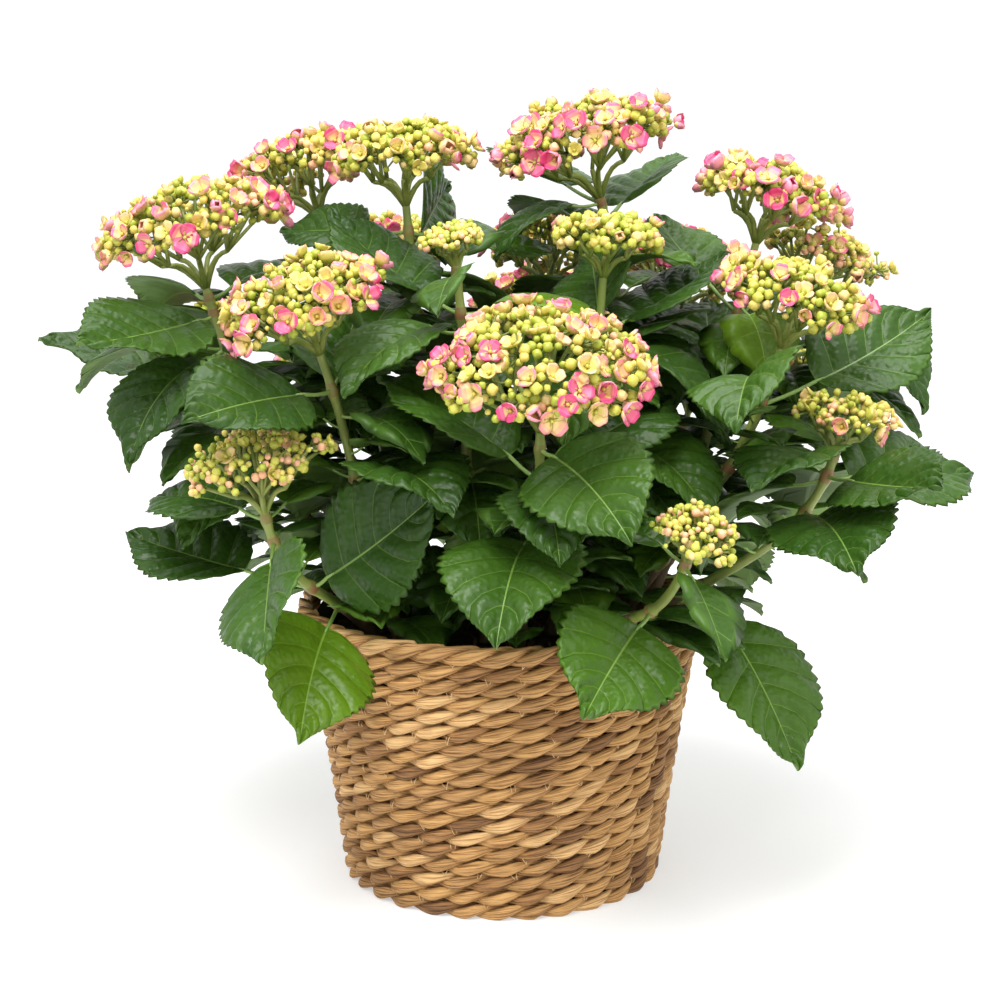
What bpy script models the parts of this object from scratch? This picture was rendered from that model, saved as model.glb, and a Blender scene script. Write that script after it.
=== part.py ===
# A hydrangea in flower, standing in a woven rope basket.
# Metres, +Z up. The origin is the centre of the basket's flat underside.
# The basket is a turned shell of rope rows, filled with soil. Woody canes rise from the soil
# to flat cut tips, and every shoot goes on from a cane: a green stem with leaves in opposite
# pairs and a domed flower head, fused into one solid.

import math

import bmesh
import bpy
import numpy as np
from mathutils import Vector
from mathutils.kdtree import KDTree

OBJECT_NAME = "hydrangea_in_basket"
GAP = 0.0003                    # between solids that would touch

# Basket
RIM_RADIUS = 0.140              # outside of the thick rope at the rim
BASE_RADIUS = 0.1095            # outside of the lowest rope row
BASKET_HEIGHT = 0.192
FLARE = 0.14                    # share of the widening that comes close under the rim
FLARE_POWER = 4
RIM_ROPE_RADIUS = 0.0065
ROPE_ROWS = 17
WALL = 0.0095                   # thickness of the wall at a rope's crest
GROOVE = 0.0028                 # how far the valley between two rows lies behind their crests
FLOOR_THICKNESS = 0.010
TURN_STEPS = 26

# Soil
SOIL_TOP = 0.167
SOIL_PLAY = 0.0002              # from the basket's wall, beyond the gap

# Stems
CANE_FOOT_RADIUS = 0.0052
CANE_RADIUS = 0.0043
STEM_RADIUS = 0.0036
STEM_TOP_RADIUS = 0.0027
FOOT_HEIGHT = 0.005             # a cane stands upright on its flat cut for this much
CANE_SHARE = 0.42               # share of the way from the soil to the fork that is woody
STEM_FOOT = 0.008               # least length of green stem under its lowest leaves
PATH_POINTS = 60
START_REACH = 0.35              # how long a stem holds its first heading, over its reach
END_REACH = 0.40                # and its last one
STEM_SIDES = 6
STEM_STEP = 0.028               # between the rings of a stem

# Leaves
LEAF_WIDTH_SHARE = 0.39         # half width over length
LEAF_FOLD = 14                  # degrees that each half rises from the midrib
LEAF_CUP = 0.10                 # how far the edges curl back down, over the half width
LEAF_THICKNESS = 0.0013
THINNEST_SHARE = 80             # no leaf is thinner than its length over this
PETIOLE = 0.022
PETIOLE_RADIUS = 0.0016
BASE_POWER, TIP_POWER = 0.62, 0.93      # roundness of the leaf's base, narrowness of its tip
STATIONS = (0.16, 0.42, 0.74)           # where the blade's outline has a corner
FILL_STATIONS = (0.24, 0.64)

# Clearances kept by the leaves
CLOUD_STEP = 0.006              # between the points of a stem that leaves keep clear of
LEAF_CLEAR = 0.0078
STEM_CLEAR = 0.0085
OWN_STEM_CLEAR = 0.0065          # of a petiole's outer half from its own stem
HEAD_CLEAR = 0.011
OWN_HEAD_CLEAR = 0.007
POT_CLEAR = 0.005

# Colours
STRAW = (0.50, 0.33, 0.17)
PEAT = (0.045, 0.030, 0.020)
BARK = (0.20, 0.13, 0.075)
LEAF_GREEN = (0.045, 0.14, 0.05)


# Each shoot: where its cane leaves the soil (x, y), how steeply it starts, its fork under the
# flower head (x, y, z), the head's lean (azimuth, degrees from upright), the head's width, and
# its leaf pairs as (distance below the fork, leaf, opposite leaf). A leaf is (azimuth, rise,
# bend, roll, length) with an optional petiole length, or only an azimuth for a usual leaf.
# A pair with no second leaf has a usual one straight opposite the first.
SHOOTS = {
    "left_low": ((-0.085, -0.035), 50, (-0.148, -0.120, 0.276), (205, 10), 0.097, (
        (0.006, (135, 28, 26, -19, 0.094, 0.026), (75, 30, 40, 0, 0.080)),
        (0.022, (272, -11, 31, 45, 0.095, 0.031), 80),
        (0.072, (325, 33, -10, 80, 0.104, 0.014), (153, 7, -4, -19, 0.097, 0.051)),
        (0.104, (263, -10, 40, -36, 0.102, 0.037)),
    )),
    "front": ((0.010, -0.060), 60, (0.023, -0.145, 0.332), (268, 18), 0.133, (
        (0.014, (298, -7, 30, 27, 0.101, 0.016)),
        (0.037, (153, 35, 22, -6, 0.105, 0.024), (47, 20, 13, 15, 0.094, 0.044)),
        (0.080, (259, 3, 54, 1, 0.109, 0.028)),
        (0.136, (148, -15, 8, -43, 0.071, 0.048), (126, 29, 57, -20, 0.096, 0.026)),
    )),
    "front_left": ((-0.066, -0.045), 60, (-0.115, -0.090, 0.372), (215, 22), 0.106, (
        (0.028, (229, 11, 13, -29, 0.099, 0.026), (51, 7, -14, 14, 0.100, 0.014)),
        (0.090, 125),
        (0.130, 200),
        (0.170, 80, 140),
    )),
    "left": ((-0.070, 0.000), 42, (-0.199, 0.010, 0.404), (180, 14), 0.127, (
        (0.010, (120, 5, 40, 15, 0.090), (50, 20, 40, 0, 0.090)),
        (0.021, (231, -25, -7, -21, 0.106, 0.014), 100),
        (0.090, (133, -11, -8, -24, 0.087, 0.046), (321, -8, -15, 14, 0.100, 0.014)),
        (0.140, 240),
    )),
    "right_low": ((0.088, -0.035), 50, (0.213, -0.078, 0.307), (340, 12), 0.072, (
        (0.004, (233, 12, 38, 5, 0.090, 0.017), (110, 25, 30, 0, 0.080)),
        (0.020, (32, -1, 8, 25, 0.110, 0.021), 150),
        (0.018, (296, 4, -6, 26, 0.095, 0.024), 90),
        (0.046, (276, 7, 32, 16, 0.101, 0.030)),
        (0.134, (307, -38, 23, -1, 0.109, 0.032), 110),
    )),
    "front_low": ((0.070, -0.060), 52, (0.110, -0.185, 0.260), (310, 25), 0.060, (
        (0.004, (286, -2, 24, -30, 0.066, 0.014), (125, 20, 45, 0, 0.070)),
        (0.064, (247, -12, 13, -33, 0.101, 0.022), (46, -22, -15, 13, 0.075, 0.014)),
    )),
    "centre": ((0.035, -0.010), 70, (0.066, -0.030, 0.415), (20, 4), 0.076, (
        (0.038, (32, 15, -15, -6, 0.105, 0.022), (92, 46, 29, -40, 0.099, 0.018)),
        (0.052, (61, 13, 22, -2, 0.095, 0.024), 240),
        (0.110, 320),
        (0.160, 50),
    )),
    "right": ((0.075, -0.005), 55, (0.181, -0.050, 0.371), (340, 15), 0.100, (
        (0.042, (27, 17, -15, 32, 0.103, 0.045), (256, 28, 82, 22, 0.096, 0.044)),
        (0.090, 330),
        (0.130, 60),
        (0.170, 320),
    )),
    "top": ((0.045, 0.030), 70, (0.067, 0.055, 0.461), (175, 16), 0.124, (
        (0.005, (117, 12, 5, 12, 0.103, 0.049), 200),
        (0.016, (60, 22, 4, -16, 0.090, 0.024), 250),
        (0.045, (126, 42, 67, 8, 0.088, 0.034)),
        (0.095, 290),
        (0.150, 20),
        (0.205, 100),
    )),
    "top_left": ((-0.005, 0.020), 65, (-0.065, 0.030, 0.458), (190, 5), 0.102, (
        (0.020, (150, -8, 5, -29, 0.087, 0.034), (44, -2, -7, 15, 0.098, 0.042)),
        (0.036, (66, 28, 0, 79, 0.099, 0.039), 190),
        (0.110, 150),
        (0.165, 240),
        (0.215, 330),
    )),
    "top_right": ((0.095, 0.010), 62, (0.174, 0.040, 0.432), (15, 15), 0.101, (
        (0.052, (114, 25, -5, 4, 0.086, 0.052), (335, 15, 45, 0, 0.095)),
        (0.123, (74, 56, 33, -6, 0.106, 0.023), 260),
        (0.160, 340),
    )),
    "centre_bud": ((-0.010, -0.030), 70, (-0.030, -0.050, 0.424), (200, 8), 0.050, (
        (0.008, (262, 2, 41, 28, 0.058, 0.025), (80, 30, 40, 0, 0.060)),
        (0.034, (137, 24, -15, -2, 0.099, 0.030)),
        (0.084, (258, 4, 68, 35, 0.093, 0.039)),
        (0.140, 120),
    )),
    "left_rear": ((-0.045, 0.045), 60, (-0.131, 0.110, 0.445), (150, 22), 0.108, (
        (0.065, 190),
        (0.120, 110),
        (0.180, 200),
    )),
    "right_rear": ((0.090, 0.035), 50, (0.219, 0.085, 0.389), (20, 22), 0.095, (
        (0.004, (124, 25, 14, 18, 0.099, 0.028), 330),
        (0.060, 60),
        (0.110, 350),
        (0.165, 70),
    )),
    "rear_left": ((-0.070, 0.060), 50, (-0.205, 0.160, 0.330), (150, 25), 0.090, (
        (0.020, (190, 17, 1, -17, 0.113, 0.038)),
        (0.075, 110),
        (0.120, 200),
    )),
    "rear_top_left": ((-0.025, 0.070), 62, (-0.085, 0.205, 0.380), (115, 25), 0.105, (
        (0.020, 140),
        (0.065, 60),
        (0.115, 150),
        (0.170, 70),
    )),
    "rear_top": ((0.020, 0.060), 66, (0.035, 0.185, 0.385), (80, 22), 0.105, (
        (0.022, 100),
        (0.070, 10),
        (0.120, 100),
        (0.175, 190),
    )),
    "rear_top_right": ((0.060, 0.065), 60, (0.135, 0.200, 0.365), (60, 25), 0.110, (
        (0.020, 25),
        (0.065, 115),
        (0.115, 20),
        (0.170, 110),
    )),
    "rear_right": ((0.078, 0.047), 60, (0.235, 0.175, 0.290), (40, 28), 0.085, (
        (0.015, 350),
        (0.055, 75),
        (0.105, 340),
        (0.150, 60),
    )),
    "rear_low_left": ((-0.045, 0.078), 56, (-0.120, 0.255, 0.305), (115, 30), 0.095, (
        (0.015, 160),
        (0.055, 80),
        (0.105, 170),
    )),
    "rear_low": ((0.010, 0.085), 56, (0.030, 0.270, 0.330), (85, 28), 0.110, (
        (0.018, 130),
        (0.060, 45),
        (0.110, 130),
    )),
    "rear_low_right": ((0.048, 0.078), 58, (0.150, 0.265, 0.280), (60, 30), 0.085, (
        (0.015, 10),
        (0.055, 100),
        (0.105, 15),
    )),
}
USUAL_LEAF = (5, 62, 0, 0.100)          # rise, bend, roll and length
FILL_LEAF = (-12, 62, 0, 0.095)
FILL_START, FILL_STEP = 0.045, 0.022    # below the fork
FILL_PAIRS = 8
UNDERSIDE, UNDERSIDE_SLOPE = 0.161, 0.45        # cone that filling leaves stay above
FILL_TURN = 97                          # degrees from one filling pair to the next
MOST_LEAVES = 178


def direction(azimuth, elevation):
    """Unit vector for an azimuth and an elevation in degrees."""
    a, e = math.radians(azimuth), math.radians(elevation)
    return np.array([math.cos(a) * math.cos(e), math.sin(a) * math.cos(e), math.sin(e)])


# ---------------------------------------------------------------- stems

class Shoot:
    """The path of one cane and its shoot, from the soil to the fork under the flower head."""

    def __init__(self, name, foot, start, fork, lean, head_width, pairs):
        self.name = name
        self.pairs = pairs
        self.head_width = head_width
        self.fork = np.array(fork)
        self.axis = direction(lean[0], 90 - lean[1])
        cut = np.array([foot[0], foot[1], SOIL_TOP + GAP])
        foot = cut + np.array([0.0, 0.0, FOOT_HEIGHT])
        reach = np.linalg.norm(self.fork - foot)
        azimuth = math.degrees(math.atan2(self.fork[1] - foot[1], self.fork[0] - foot[0]))
        corners = np.array([
            foot,
            foot + START_REACH * reach * direction(azimuth, start),
            self.fork - END_REACH * reach * self.axis,
            self.fork,
        ])
        t = np.linspace(0.0, 1.0, PATH_POINTS)[:, None]
        weights = np.hstack([(1 - t) ** 3, 3 * (1 - t) ** 2 * t, 3 * (1 - t) * t ** 2, t ** 3])
        self.path = np.vstack([cut, weights @ corners])
        steps = np.linalg.norm(np.diff(self.path, axis=0), axis=1)
        self.along = np.concatenate([[0.0], np.cumsum(steps)])
        self.length = self.along[-1]

    def at(self, distance):
        """Point at a distance from the soil."""
        return np.array([np.interp(distance, self.along, self.path[:, i]) for i in range(3)])

    def below(self, distance):
        """Point at a distance below the fork."""
        return self.at(self.length - distance)

    def cloud(self):
        """Points along the stem, for the leaves to keep clear of."""
        return np.array([self.at(s) for s in np.arange(0.0, self.length, CLOUD_STEP)])


# ---------------------------------------------------------------- leaves

class Leaf:
    """One leaf: a petiole and a blade whose midrib bends down evenly from base to tip."""

    def __init__(self, shoot, below, azimuth, rise, bend, roll, length, petiole=PETIOLE):
        self.shoot = shoot
        self.node = shoot.below(below)
        self.azimuth, self.rise, self.bend, self.roll = azimuth, rise, bend, roll
        self.length, self.petiole = length, petiole
        self.stations, self.tries, self.filling = STATIONS, TRIES, False

    def turned(self, turn, lift, scale):
        """The same leaf turned about its stem, lifted and made smaller."""
        other = Leaf.__new__(Leaf)
        other.__dict__.update(self.__dict__)
        other.azimuth += turn
        other.rise += lift
        other.length *= scale
        return other

    def surface(self, t, v, drop=0.0):
        """Points of the blade at t along the midrib and v across it, from -1 to 1."""
        t, v = np.asarray(t, float), np.asarray(v, float)
        azimuth, rise, roll = map(math.radians, (self.azimuth, self.rise, self.roll))
        bend = math.radians(self.bend) or 1e-3
        out = np.array([math.cos(azimuth), math.sin(azimuth), 0.0])
        side = np.array([-math.sin(azimuth), math.cos(azimuth), 0.0])
        up = np.array([0.0, 0.0, 1.0])
        slope = (rise - bend * t)[..., None]
        start = self.node + self.petiole * (math.cos(rise) * out + math.sin(rise) * up)
        midrib = start + self.length / bend * (
            (math.sin(rise) - np.sin(slope)) * out + (np.cos(slope) - math.cos(rise)) * up)
        normal = np.cos(slope) * up - np.sin(slope) * out
        across = side * math.cos(roll) + normal * math.sin(roll)
        normal = normal * math.cos(roll) - side * math.sin(roll)
        half = (half_width(t) * self.length * LEAF_WIDTH_SHARE)[..., None]
        fold = math.radians(LEAF_FOLD)
        v = v[..., None]
        lift = half * (np.abs(v) * math.sin(fold) - LEAF_CUP * v ** 2)
        return midrib + across * half * v * math.cos(fold) + normal * (lift - drop)

    def blade_cloud(self):
        """Points all over the blade."""
        t, v = np.meshgrid(np.linspace(0.1, 0.97, 9), np.linspace(-1, 1, 7))
        return self.surface(t.ravel(), v.ravel())

    def petiole_cloud(self):
        """Points along the outer half of the petiole."""
        end = self.surface([0.0], [0.0])[0]
        return self.node + np.linspace(0.45, 1.0, 3)[:, None] * (end - self.node)


def half_width(t):
    """Ovate outline: the blade's half width at t, as a share of its widest."""
    widest = BASE_POWER / (BASE_POWER + TIP_POWER)
    t = np.clip(t, 0.0, 1.0)
    return (t / widest) ** BASE_POWER * ((1 - t) / (1 - widest)) ** TIP_POWER


def in_pot(points):
    """True where a point is in the basket's wall or rim, or in the soil."""
    radius = np.hypot(points[:, 0], points[:, 1])
    height = points[:, 2]
    outside = outer_radius(height)
    wall = (height < BASKET_HEIGHT + POT_CLEAR) & (radius < outside + POT_CLEAR)
    hollow = (height > SOIL_TOP + POT_CLEAR) & (radius < outside - WALL - 2 * POT_CLEAR)
    return (wall & ~hollow) | (height < POT_CLEAR)


def outer_radius(height):
    """The basket's outside at a height: a cone that flares a little at the rim."""
    share = np.clip(np.asarray(height, float) / BASKET_HEIGHT, 0.0, 1.0)
    widening = (1 - FLARE) * share + FLARE * share ** FLARE_POWER
    return BASE_RADIUS + (RIM_RADIUS - BASE_RADIUS) * widening


class Space:
    """Points of all that is grown, each with its kind and shoot."""

    def __init__(self):
        self.points, self.owners, self.tree = [], [], None

    def add(self, points, kind, name):
        self.points += [tuple(point) for point in points]
        self.owners += [(kind, name)] * len(points)
        self.tree = KDTree(len(self.points))
        for index, point in enumerate(self.points):
            self.tree.insert(point, index)
        self.tree.balance()

    def has_room(self, leaf):
        """True if the leaf touches no stem, flower head, leaf or pot."""
        blade, stalk = leaf.blade_cloud(), leaf.petiole_cloud()
        if in_pot(np.vstack([blade, stalk])).any():
            return False
        underside = UNDERSIDE + UNDERSIDE_SLOPE * np.hypot(blade[:, 0], blade[:, 1])
        if leaf.filling and (blade[:, 2] < underside).any():
            return False
        own = {"stem": STEM_CLEAR, "head": OWN_HEAD_CLEAR, "leaf": LEAF_CLEAR}
        other = {"stem": STEM_CLEAR, "head": HEAD_CLEAR, "leaf": LEAF_CLEAR}
        own_stalk = {"stem": OWN_STEM_CLEAR, "head": 0.0, "leaf": LEAF_CLEAR}
        for points, own_clear in ((blade, own), (stalk, own_stalk)):
            for point in points:
                for _, index, distance in self.tree.find_range(point, HEAD_CLEAR):
                    kind, name = self.owners[index]
                    clear = own_clear if name == leaf.shoot.name else other
                    if distance < clear[kind]:
                        return False
        return True


# A leaf that would touch something tries these turns, lifts and sizes in order.
# A filling leaf tries all round its stem.
TRIES = [(turn, lift, scale) for scale in (1.0, 0.85, 0.7) for turn, lift in (
    (0, 0), (7, 0), (-7, 0), (0, 8), (0, -8), (14, 6), (-14, 6), (14, -10), (-14, -10),
    (24, 0), (-24, 0), (0, 18), (0, -20), (34, 10), (-34, 10))]
FILL_TRIES = [(turn, lift, scale) for scale in (1.0, 0.85, 0.7) for lift in (0, -20, 20)
              for turn in (0, 30, -30, 60, -60, 90, -90)]


def leaf_order(shoots):
    """Every leaf of the planting, those with a place of their own first, then the usual ones,
    then the filling ones that only grow where space is left."""
    own, usual = [], []
    for shoot in shoots:
        for below, first, *second in shoot.pairs:
            if not second:
                second = [(first[0] if isinstance(first, tuple) else first) + 180]
            for leaf in (first, *second):
                if isinstance(leaf, tuple):
                    own.append(Leaf(shoot, below, *leaf))
                else:
                    usual.append(Leaf(shoot, below, leaf, *USUAL_LEAF))
    filling = []
    for step in range(FILL_PAIRS):
        below = FILL_START + FILL_STEP * step
        for count, shoot in enumerate(shoots):
            if below < shoot.length * (1 - CANE_SHARE) - STEM_FOOT:
                azimuth = FILL_TURN * (count + step)
                filling += [Leaf(shoot, below, azimuth + turn, *FILL_LEAF) for turn in (0, 180)]
    for leaf in filling:
        leaf.stations, leaf.tries, leaf.filling = FILL_STATIONS, FILL_TRIES, True
    return own + usual + filling


def grow_leaves(shoots):
    """Every shoot's leaves, each turned until it is clear of all that is already there."""
    space = Space()
    for shoot in shoots:
        space.add(shoot.cloud(), "stem", shoot.name)
        space.add(np.vstack(head_points(shoot, HEAD_CLOUD)), "head", shoot.name)
    leaves = {shoot.name: [] for shoot in shoots}
    count = 0
    for leaf in leaf_order(shoots):
        if count == MOST_LEAVES:
            break
        for turn, lift, scale in leaf.tries:
            tried = leaf.turned(turn, lift, scale)
            if space.has_room(tried):
                leaves[leaf.shoot.name].append(tried)
                space.add(tried.blade_cloud(), "leaf", leaf.shoot.name)
                space.add(tried.petiole_cloud(), "leaf", leaf.shoot.name)
                count += 1
                break
    return leaves


# ---------------------------------------------------------------- flower heads

HEAD_BUMPS = 15                 # florets that stand out on a head of the usual width
USUAL_HEAD = 0.100
HEAD_CLOUD = 3                  # times as many points, for the leaves to keep clear of
# Over the head's width:
HEAD_HEIGHT = 0.34              # half height of the dome
HEAD_STALK = 0.27               # from the fork to the dome's middle
UNDER_RADIUS, UNDER_DEPTH = 0.30, 0.16      # ring under the dome's edge
SUNK = 0.05                     # depth of the hollows between florets
DOME_REACH = 1.12               # how far round the dome florets go: 1 is its edge
RAY_FOOT = 0.004                # how far the rays are sunk into the stem's tip
RAY_RADIUS, RAY_TOP_RADIUS = 0.0016, 0.0020
GOLDEN_ANGLE = math.radians(137.508)


def head_frame(axis):
    """Matrix that turns +Z to the head's axis."""
    return np.array(Vector((0, 0, 1)).rotation_difference(Vector(axis)).to_matrix())


def head_points(shoot, share=1):
    """The tops of the dome's florets, and those of the ring under its edge."""
    width = shoot.head_width
    count = share * max(9, round(HEAD_BUMPS * width / USUAL_HEAD))
    turn = head_frame(shoot.axis)
    middle = shoot.fork + shoot.axis * HEAD_STALK * width
    tops = []
    for i in range(count):
        lean = math.acos(1 - DOME_REACH * (i + 0.5) / count)
        angle = i * GOLDEN_ANGLE
        tops.append([math.sin(lean) * math.cos(angle) * width * 0.5,
                     math.sin(lean) * math.sin(angle) * width * 0.5,
                     math.cos(lean) * width * HEAD_HEIGHT])
    under = []
    ring = max(5, count // 3)
    for i in range(ring):
        angle = i * math.tau / ring
        radius = width * UNDER_RADIUS
        under.append([math.cos(angle) * radius, math.sin(angle) * radius, -width * UNDER_DEPTH])
    tops, under = np.array(tops), np.array(under)
    return middle + tops @ turn.T, middle + under @ turn.T


# ---------------------------------------------------------------- Blender objects

def material(name, colour, roughness):
    """Principled material with a plain colour."""
    made = bpy.data.materials.new(name)
    made.use_nodes = True
    shader = made.node_tree.nodes["Principled BSDF"]
    shader.inputs["Base Color"].default_value = (*colour, 1.0)
    shader.inputs["Roughness"].default_value = roughness
    shader.inputs["Metallic"].default_value = 0.0
    return made


def object_from(name, mesh, collection, finish=None):
    """New object for a mesh, in a collection."""
    made = bpy.data.objects.new(name, mesh)
    collection.objects.link(made)
    if finish:
        mesh.materials.clear()
        mesh.materials.append(finish)
    return made


def mesh_from(name, bm):
    """New mesh from a bmesh with its faces pointing out."""
    bmesh.ops.recalc_face_normals(bm, faces=bm.faces)
    mesh = bpy.data.meshes.new(name)
    bm.to_mesh(mesh)
    bm.free()
    return mesh


def tube_mesh(name, points, radii, sides):
    """Closed tapering tube through the points, from a curve with filled caps."""
    curve = bpy.data.curves.new(name, "CURVE")
    curve.dimensions = "3D"
    curve.bevel_depth = 1.0
    curve.bevel_resolution = (sides - 4) // 2
    curve.use_fill_caps = True
    spline = curve.splines.new("POLY")
    spline.points.add(len(points) - 1)
    for place, point, radius in zip(spline.points, points, radii):
        place.co = (*point, 1.0)
        place.radius = radius
    guide = bpy.data.objects.new(name + "_guide", curve)
    bpy.context.scene.collection.objects.link(guide)
    view = bpy.context.evaluated_depsgraph_get()
    mesh = bpy.data.meshes.new_from_object(guide.evaluated_get(view))
    bpy.data.objects.remove(guide)
    bpy.data.curves.remove(curve)
    bm = bmesh.new()
    bm.from_mesh(mesh)
    bpy.data.meshes.remove(mesh)
    bmesh.ops.remove_doubles(bm, verts=bm.verts, dist=1e-6)
    return mesh_from(name, bm)


def stem_mesh(name, shoot, start, end, radius_start, radius_end):
    """Tapering tube along a stretch of the shoot's path."""
    count = max(3, round((end - start) / STEM_STEP) + 1)
    stations = np.linspace(start, end, count)
    if start == 0.0:
        stations = np.insert(stations, 1, FOOT_HEIGHT)
    radii = np.interp(stations, [start, end], [radius_start, radius_end])
    return tube_mesh(name, [shoot.at(s) for s in stations], radii, STEM_SIDES)


def leaf_mesh(name, leaf):
    """Petiole and blade as one closed loft: square sections along the petiole, lens sections
    along the blade, and a point at the tip."""
    bm = bmesh.new()
    base, near = leaf.surface([0.0, 0.05], [0.0, 0.0])
    heading = Vector(near - base).normalized()
    sunk = Vector(base - leaf.node).normalized()
    across = Vector(leaf.surface([0.3], [1.0])[0] - leaf.surface([0.3], [-1.0])[0]).normalized()
    rings = []
    for centre, along in ((Vector(leaf.node), sunk), (Vector(base), heading)):
        up = along.cross(across).normalized() * PETIOLE_RADIUS
        flat = up.cross(along).normalized() * PETIOLE_RADIUS
        rings.append([bm.verts.new(centre + offset) for offset in (flat, up, -flat, -up)])
    # The blade's sections run left edge, top of the midrib, right edge, underside of the midrib.
    thick = max(LEAF_THICKNESS, leaf.length / THINNEST_SHARE)
    for t in leaf.stations:
        left, top, right = leaf.surface([t, t, t], [-1.0, 0.0, 1.0])
        under = leaf.surface([t], [0.0], drop=thick)[0]
        rings.append([bm.verts.new(p) for p in (left, top, right, under)])
    align(rings)
    for ring, following in zip(rings, rings[1:]):
        for i in range(4):
            bm.faces.new((ring[i], ring[(i + 1) % 4], following[(i + 1) % 4], following[i]))
    tip = bm.verts.new(leaf.surface([1.0], [0.0])[0])
    for i in range(4):
        bm.faces.new((rings[-1][i], rings[-1][(i + 1) % 4], tip))
    bm.faces.new(rings[0])
    bmesh.ops.triangulate(bm, faces=bm.faces)
    return mesh_from(name, bm)


def align(rings):
    """Turn or flip each petiole ring so that its corners meet the blade's in order."""
    for index in (1, 0):
        target = [v.co for v in rings[index + 1]]
        options = []
        for ring in (rings[index], rings[index][::-1]):
            options += [ring[i:] + ring[:i] for i in range(4)]
        rings[index] = min(options, key=lambda ring: misfit(ring, target))


def misfit(ring, target):
    """How far a ring's corners are from the places they are to meet."""
    return sum((vert.co - place).length for vert, place in zip(ring, target))


def dome_mesh(name, shoot):
    """Closed dome of florets: the hull of their tops, with every face's middle sunk in."""
    tops, under = head_points(shoot)
    middle = Vector(shoot.fork + shoot.axis * HEAD_STALK * shoot.head_width)
    bm = bmesh.new()
    for point in (*tops, *under):
        bm.verts.new(point)
    bmesh.ops.convex_hull(bm, input=bm.verts)
    loose = [v for v in bm.verts if not v.link_faces]
    bmesh.ops.delete(bm, geom=loose, context="VERTS")
    outer = [f for f in bm.faces if f.normal.dot(Vector(shoot.axis)) > -0.35]
    poked = bmesh.ops.poke(bm, faces=outer)
    for vert in poked["verts"]:
        vert.co += (middle - vert.co).normalized() * shoot.head_width * SUNK
    bmesh.ops.triangulate(bm, faces=bm.faces)
    return mesh_from(name, bm)


def ray_meshes(name, shoot):
    """The stalks that carry the dome, from the fork into its underside."""
    under = head_points(shoot)[1]
    middle = shoot.fork + shoot.axis * HEAD_STALK * shoot.head_width
    start = shoot.fork - shoot.axis * RAY_FOOT
    rays = []
    for i, point in enumerate(under[::2]):
        end = middle + (point - middle) * 0.8 + shoot.axis * shoot.head_width * 0.06
        rays.append(tube_mesh(f"{name}_{i}", [start, end], [RAY_RADIUS, RAY_TOP_RADIUS], 4))
    return rays


def join(carrier, pieces):
    """Union of the carrier with every piece, applied to the carrier's mesh."""
    group = bpy.data.collections.new(carrier.name + "_pieces")
    bpy.context.scene.collection.children.link(group)
    for index, mesh in enumerate(pieces):
        object_from(f"{carrier.name}_piece_{index}", mesh, group)
    union = carrier.modifiers.new("union", "BOOLEAN")
    union.operation = "UNION"
    union.operand_type = "COLLECTION"
    union.collection = group
    union.solver = "MANIFOLD"
    view = bpy.context.evaluated_depsgraph_get()
    joined = bpy.data.meshes.new_from_object(carrier.evaluated_get(view))
    carrier.modifiers.remove(union)
    carrier.data = joined
    for piece in list(group.objects):
        bpy.data.meshes.remove(piece.data)
    bpy.data.collections.remove(group)


def keep_largest(mesh):
    """Weld the mesh and drop any loose scrap beside its main body."""
    bm = bmesh.new()
    bm.from_mesh(mesh)
    bmesh.ops.remove_doubles(bm, verts=bm.verts, dist=2e-6)
    bmesh.ops.dissolve_degenerate(bm, edges=bm.edges, dist=2e-6)
    bmesh.ops.triangulate(bm, faces=bm.faces)
    parts, seen = [], set()
    for vert in bm.verts:
        if vert in seen:
            continue
        part, stack = [], [vert]
        seen.add(vert)
        while stack:
            here = stack.pop()
            part.append(here)
            for edge in here.link_edges:
                other = edge.other_vert(here)
                if other not in seen:
                    seen.add(other)
                    stack.append(other)
        parts.append(part)
    parts.sort(key=len, reverse=True)
    bmesh.ops.delete(bm, geom=[v for part in parts[1:] for v in part], context="VERTS")
    bm.to_mesh(mesh)
    bm.free()


# ---------------------------------------------------------------- the sub-parts

def basket_profile():
    """Outside of the basket from rim to floor as (radius, height), with a scallop per row."""
    row_height = (BASKET_HEIGHT - 2 * RIM_ROPE_RADIUS) / ROPE_ROWS
    profile = []
    for degrees in (120, 60, 0, -60):
        angle = math.radians(degrees)
        radius = RIM_RADIUS - RIM_ROPE_RADIUS + RIM_ROPE_RADIUS * math.cos(angle)
        profile.append((radius, BASKET_HEIGHT - RIM_ROPE_RADIUS + RIM_ROPE_RADIUS * math.sin(angle)))
    for row in range(ROPE_ROWS):
        top = BASKET_HEIGHT - 2 * RIM_ROPE_RADIUS - row * row_height
        if row:
            profile.append((float(outer_radius(top)) - GROOVE, top))
        profile.append((float(outer_radius(top - row_height / 2)), top - row_height / 2))
    profile.append((BASE_RADIUS - GROOVE, 0.0))
    return profile


def make_basket(collection):
    """Turned shell: rope rows outside, a smooth wall inside, and a flat floor."""
    inner_top = float(outer_radius(BASKET_HEIGHT - 2 * RIM_ROPE_RADIUS)) - WALL
    outline = [(0.0, 0.0), *reversed(basket_profile()), (inner_top, BASKET_HEIGHT - 2 * RIM_ROPE_RADIUS),
               (BASE_RADIUS - WALL, FLOOR_THICKNESS), (0.0, FLOOR_THICKNESS)]
    return turned("basket", outline[::-1], collection, material("woven_rope", STRAW, 0.85))


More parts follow.
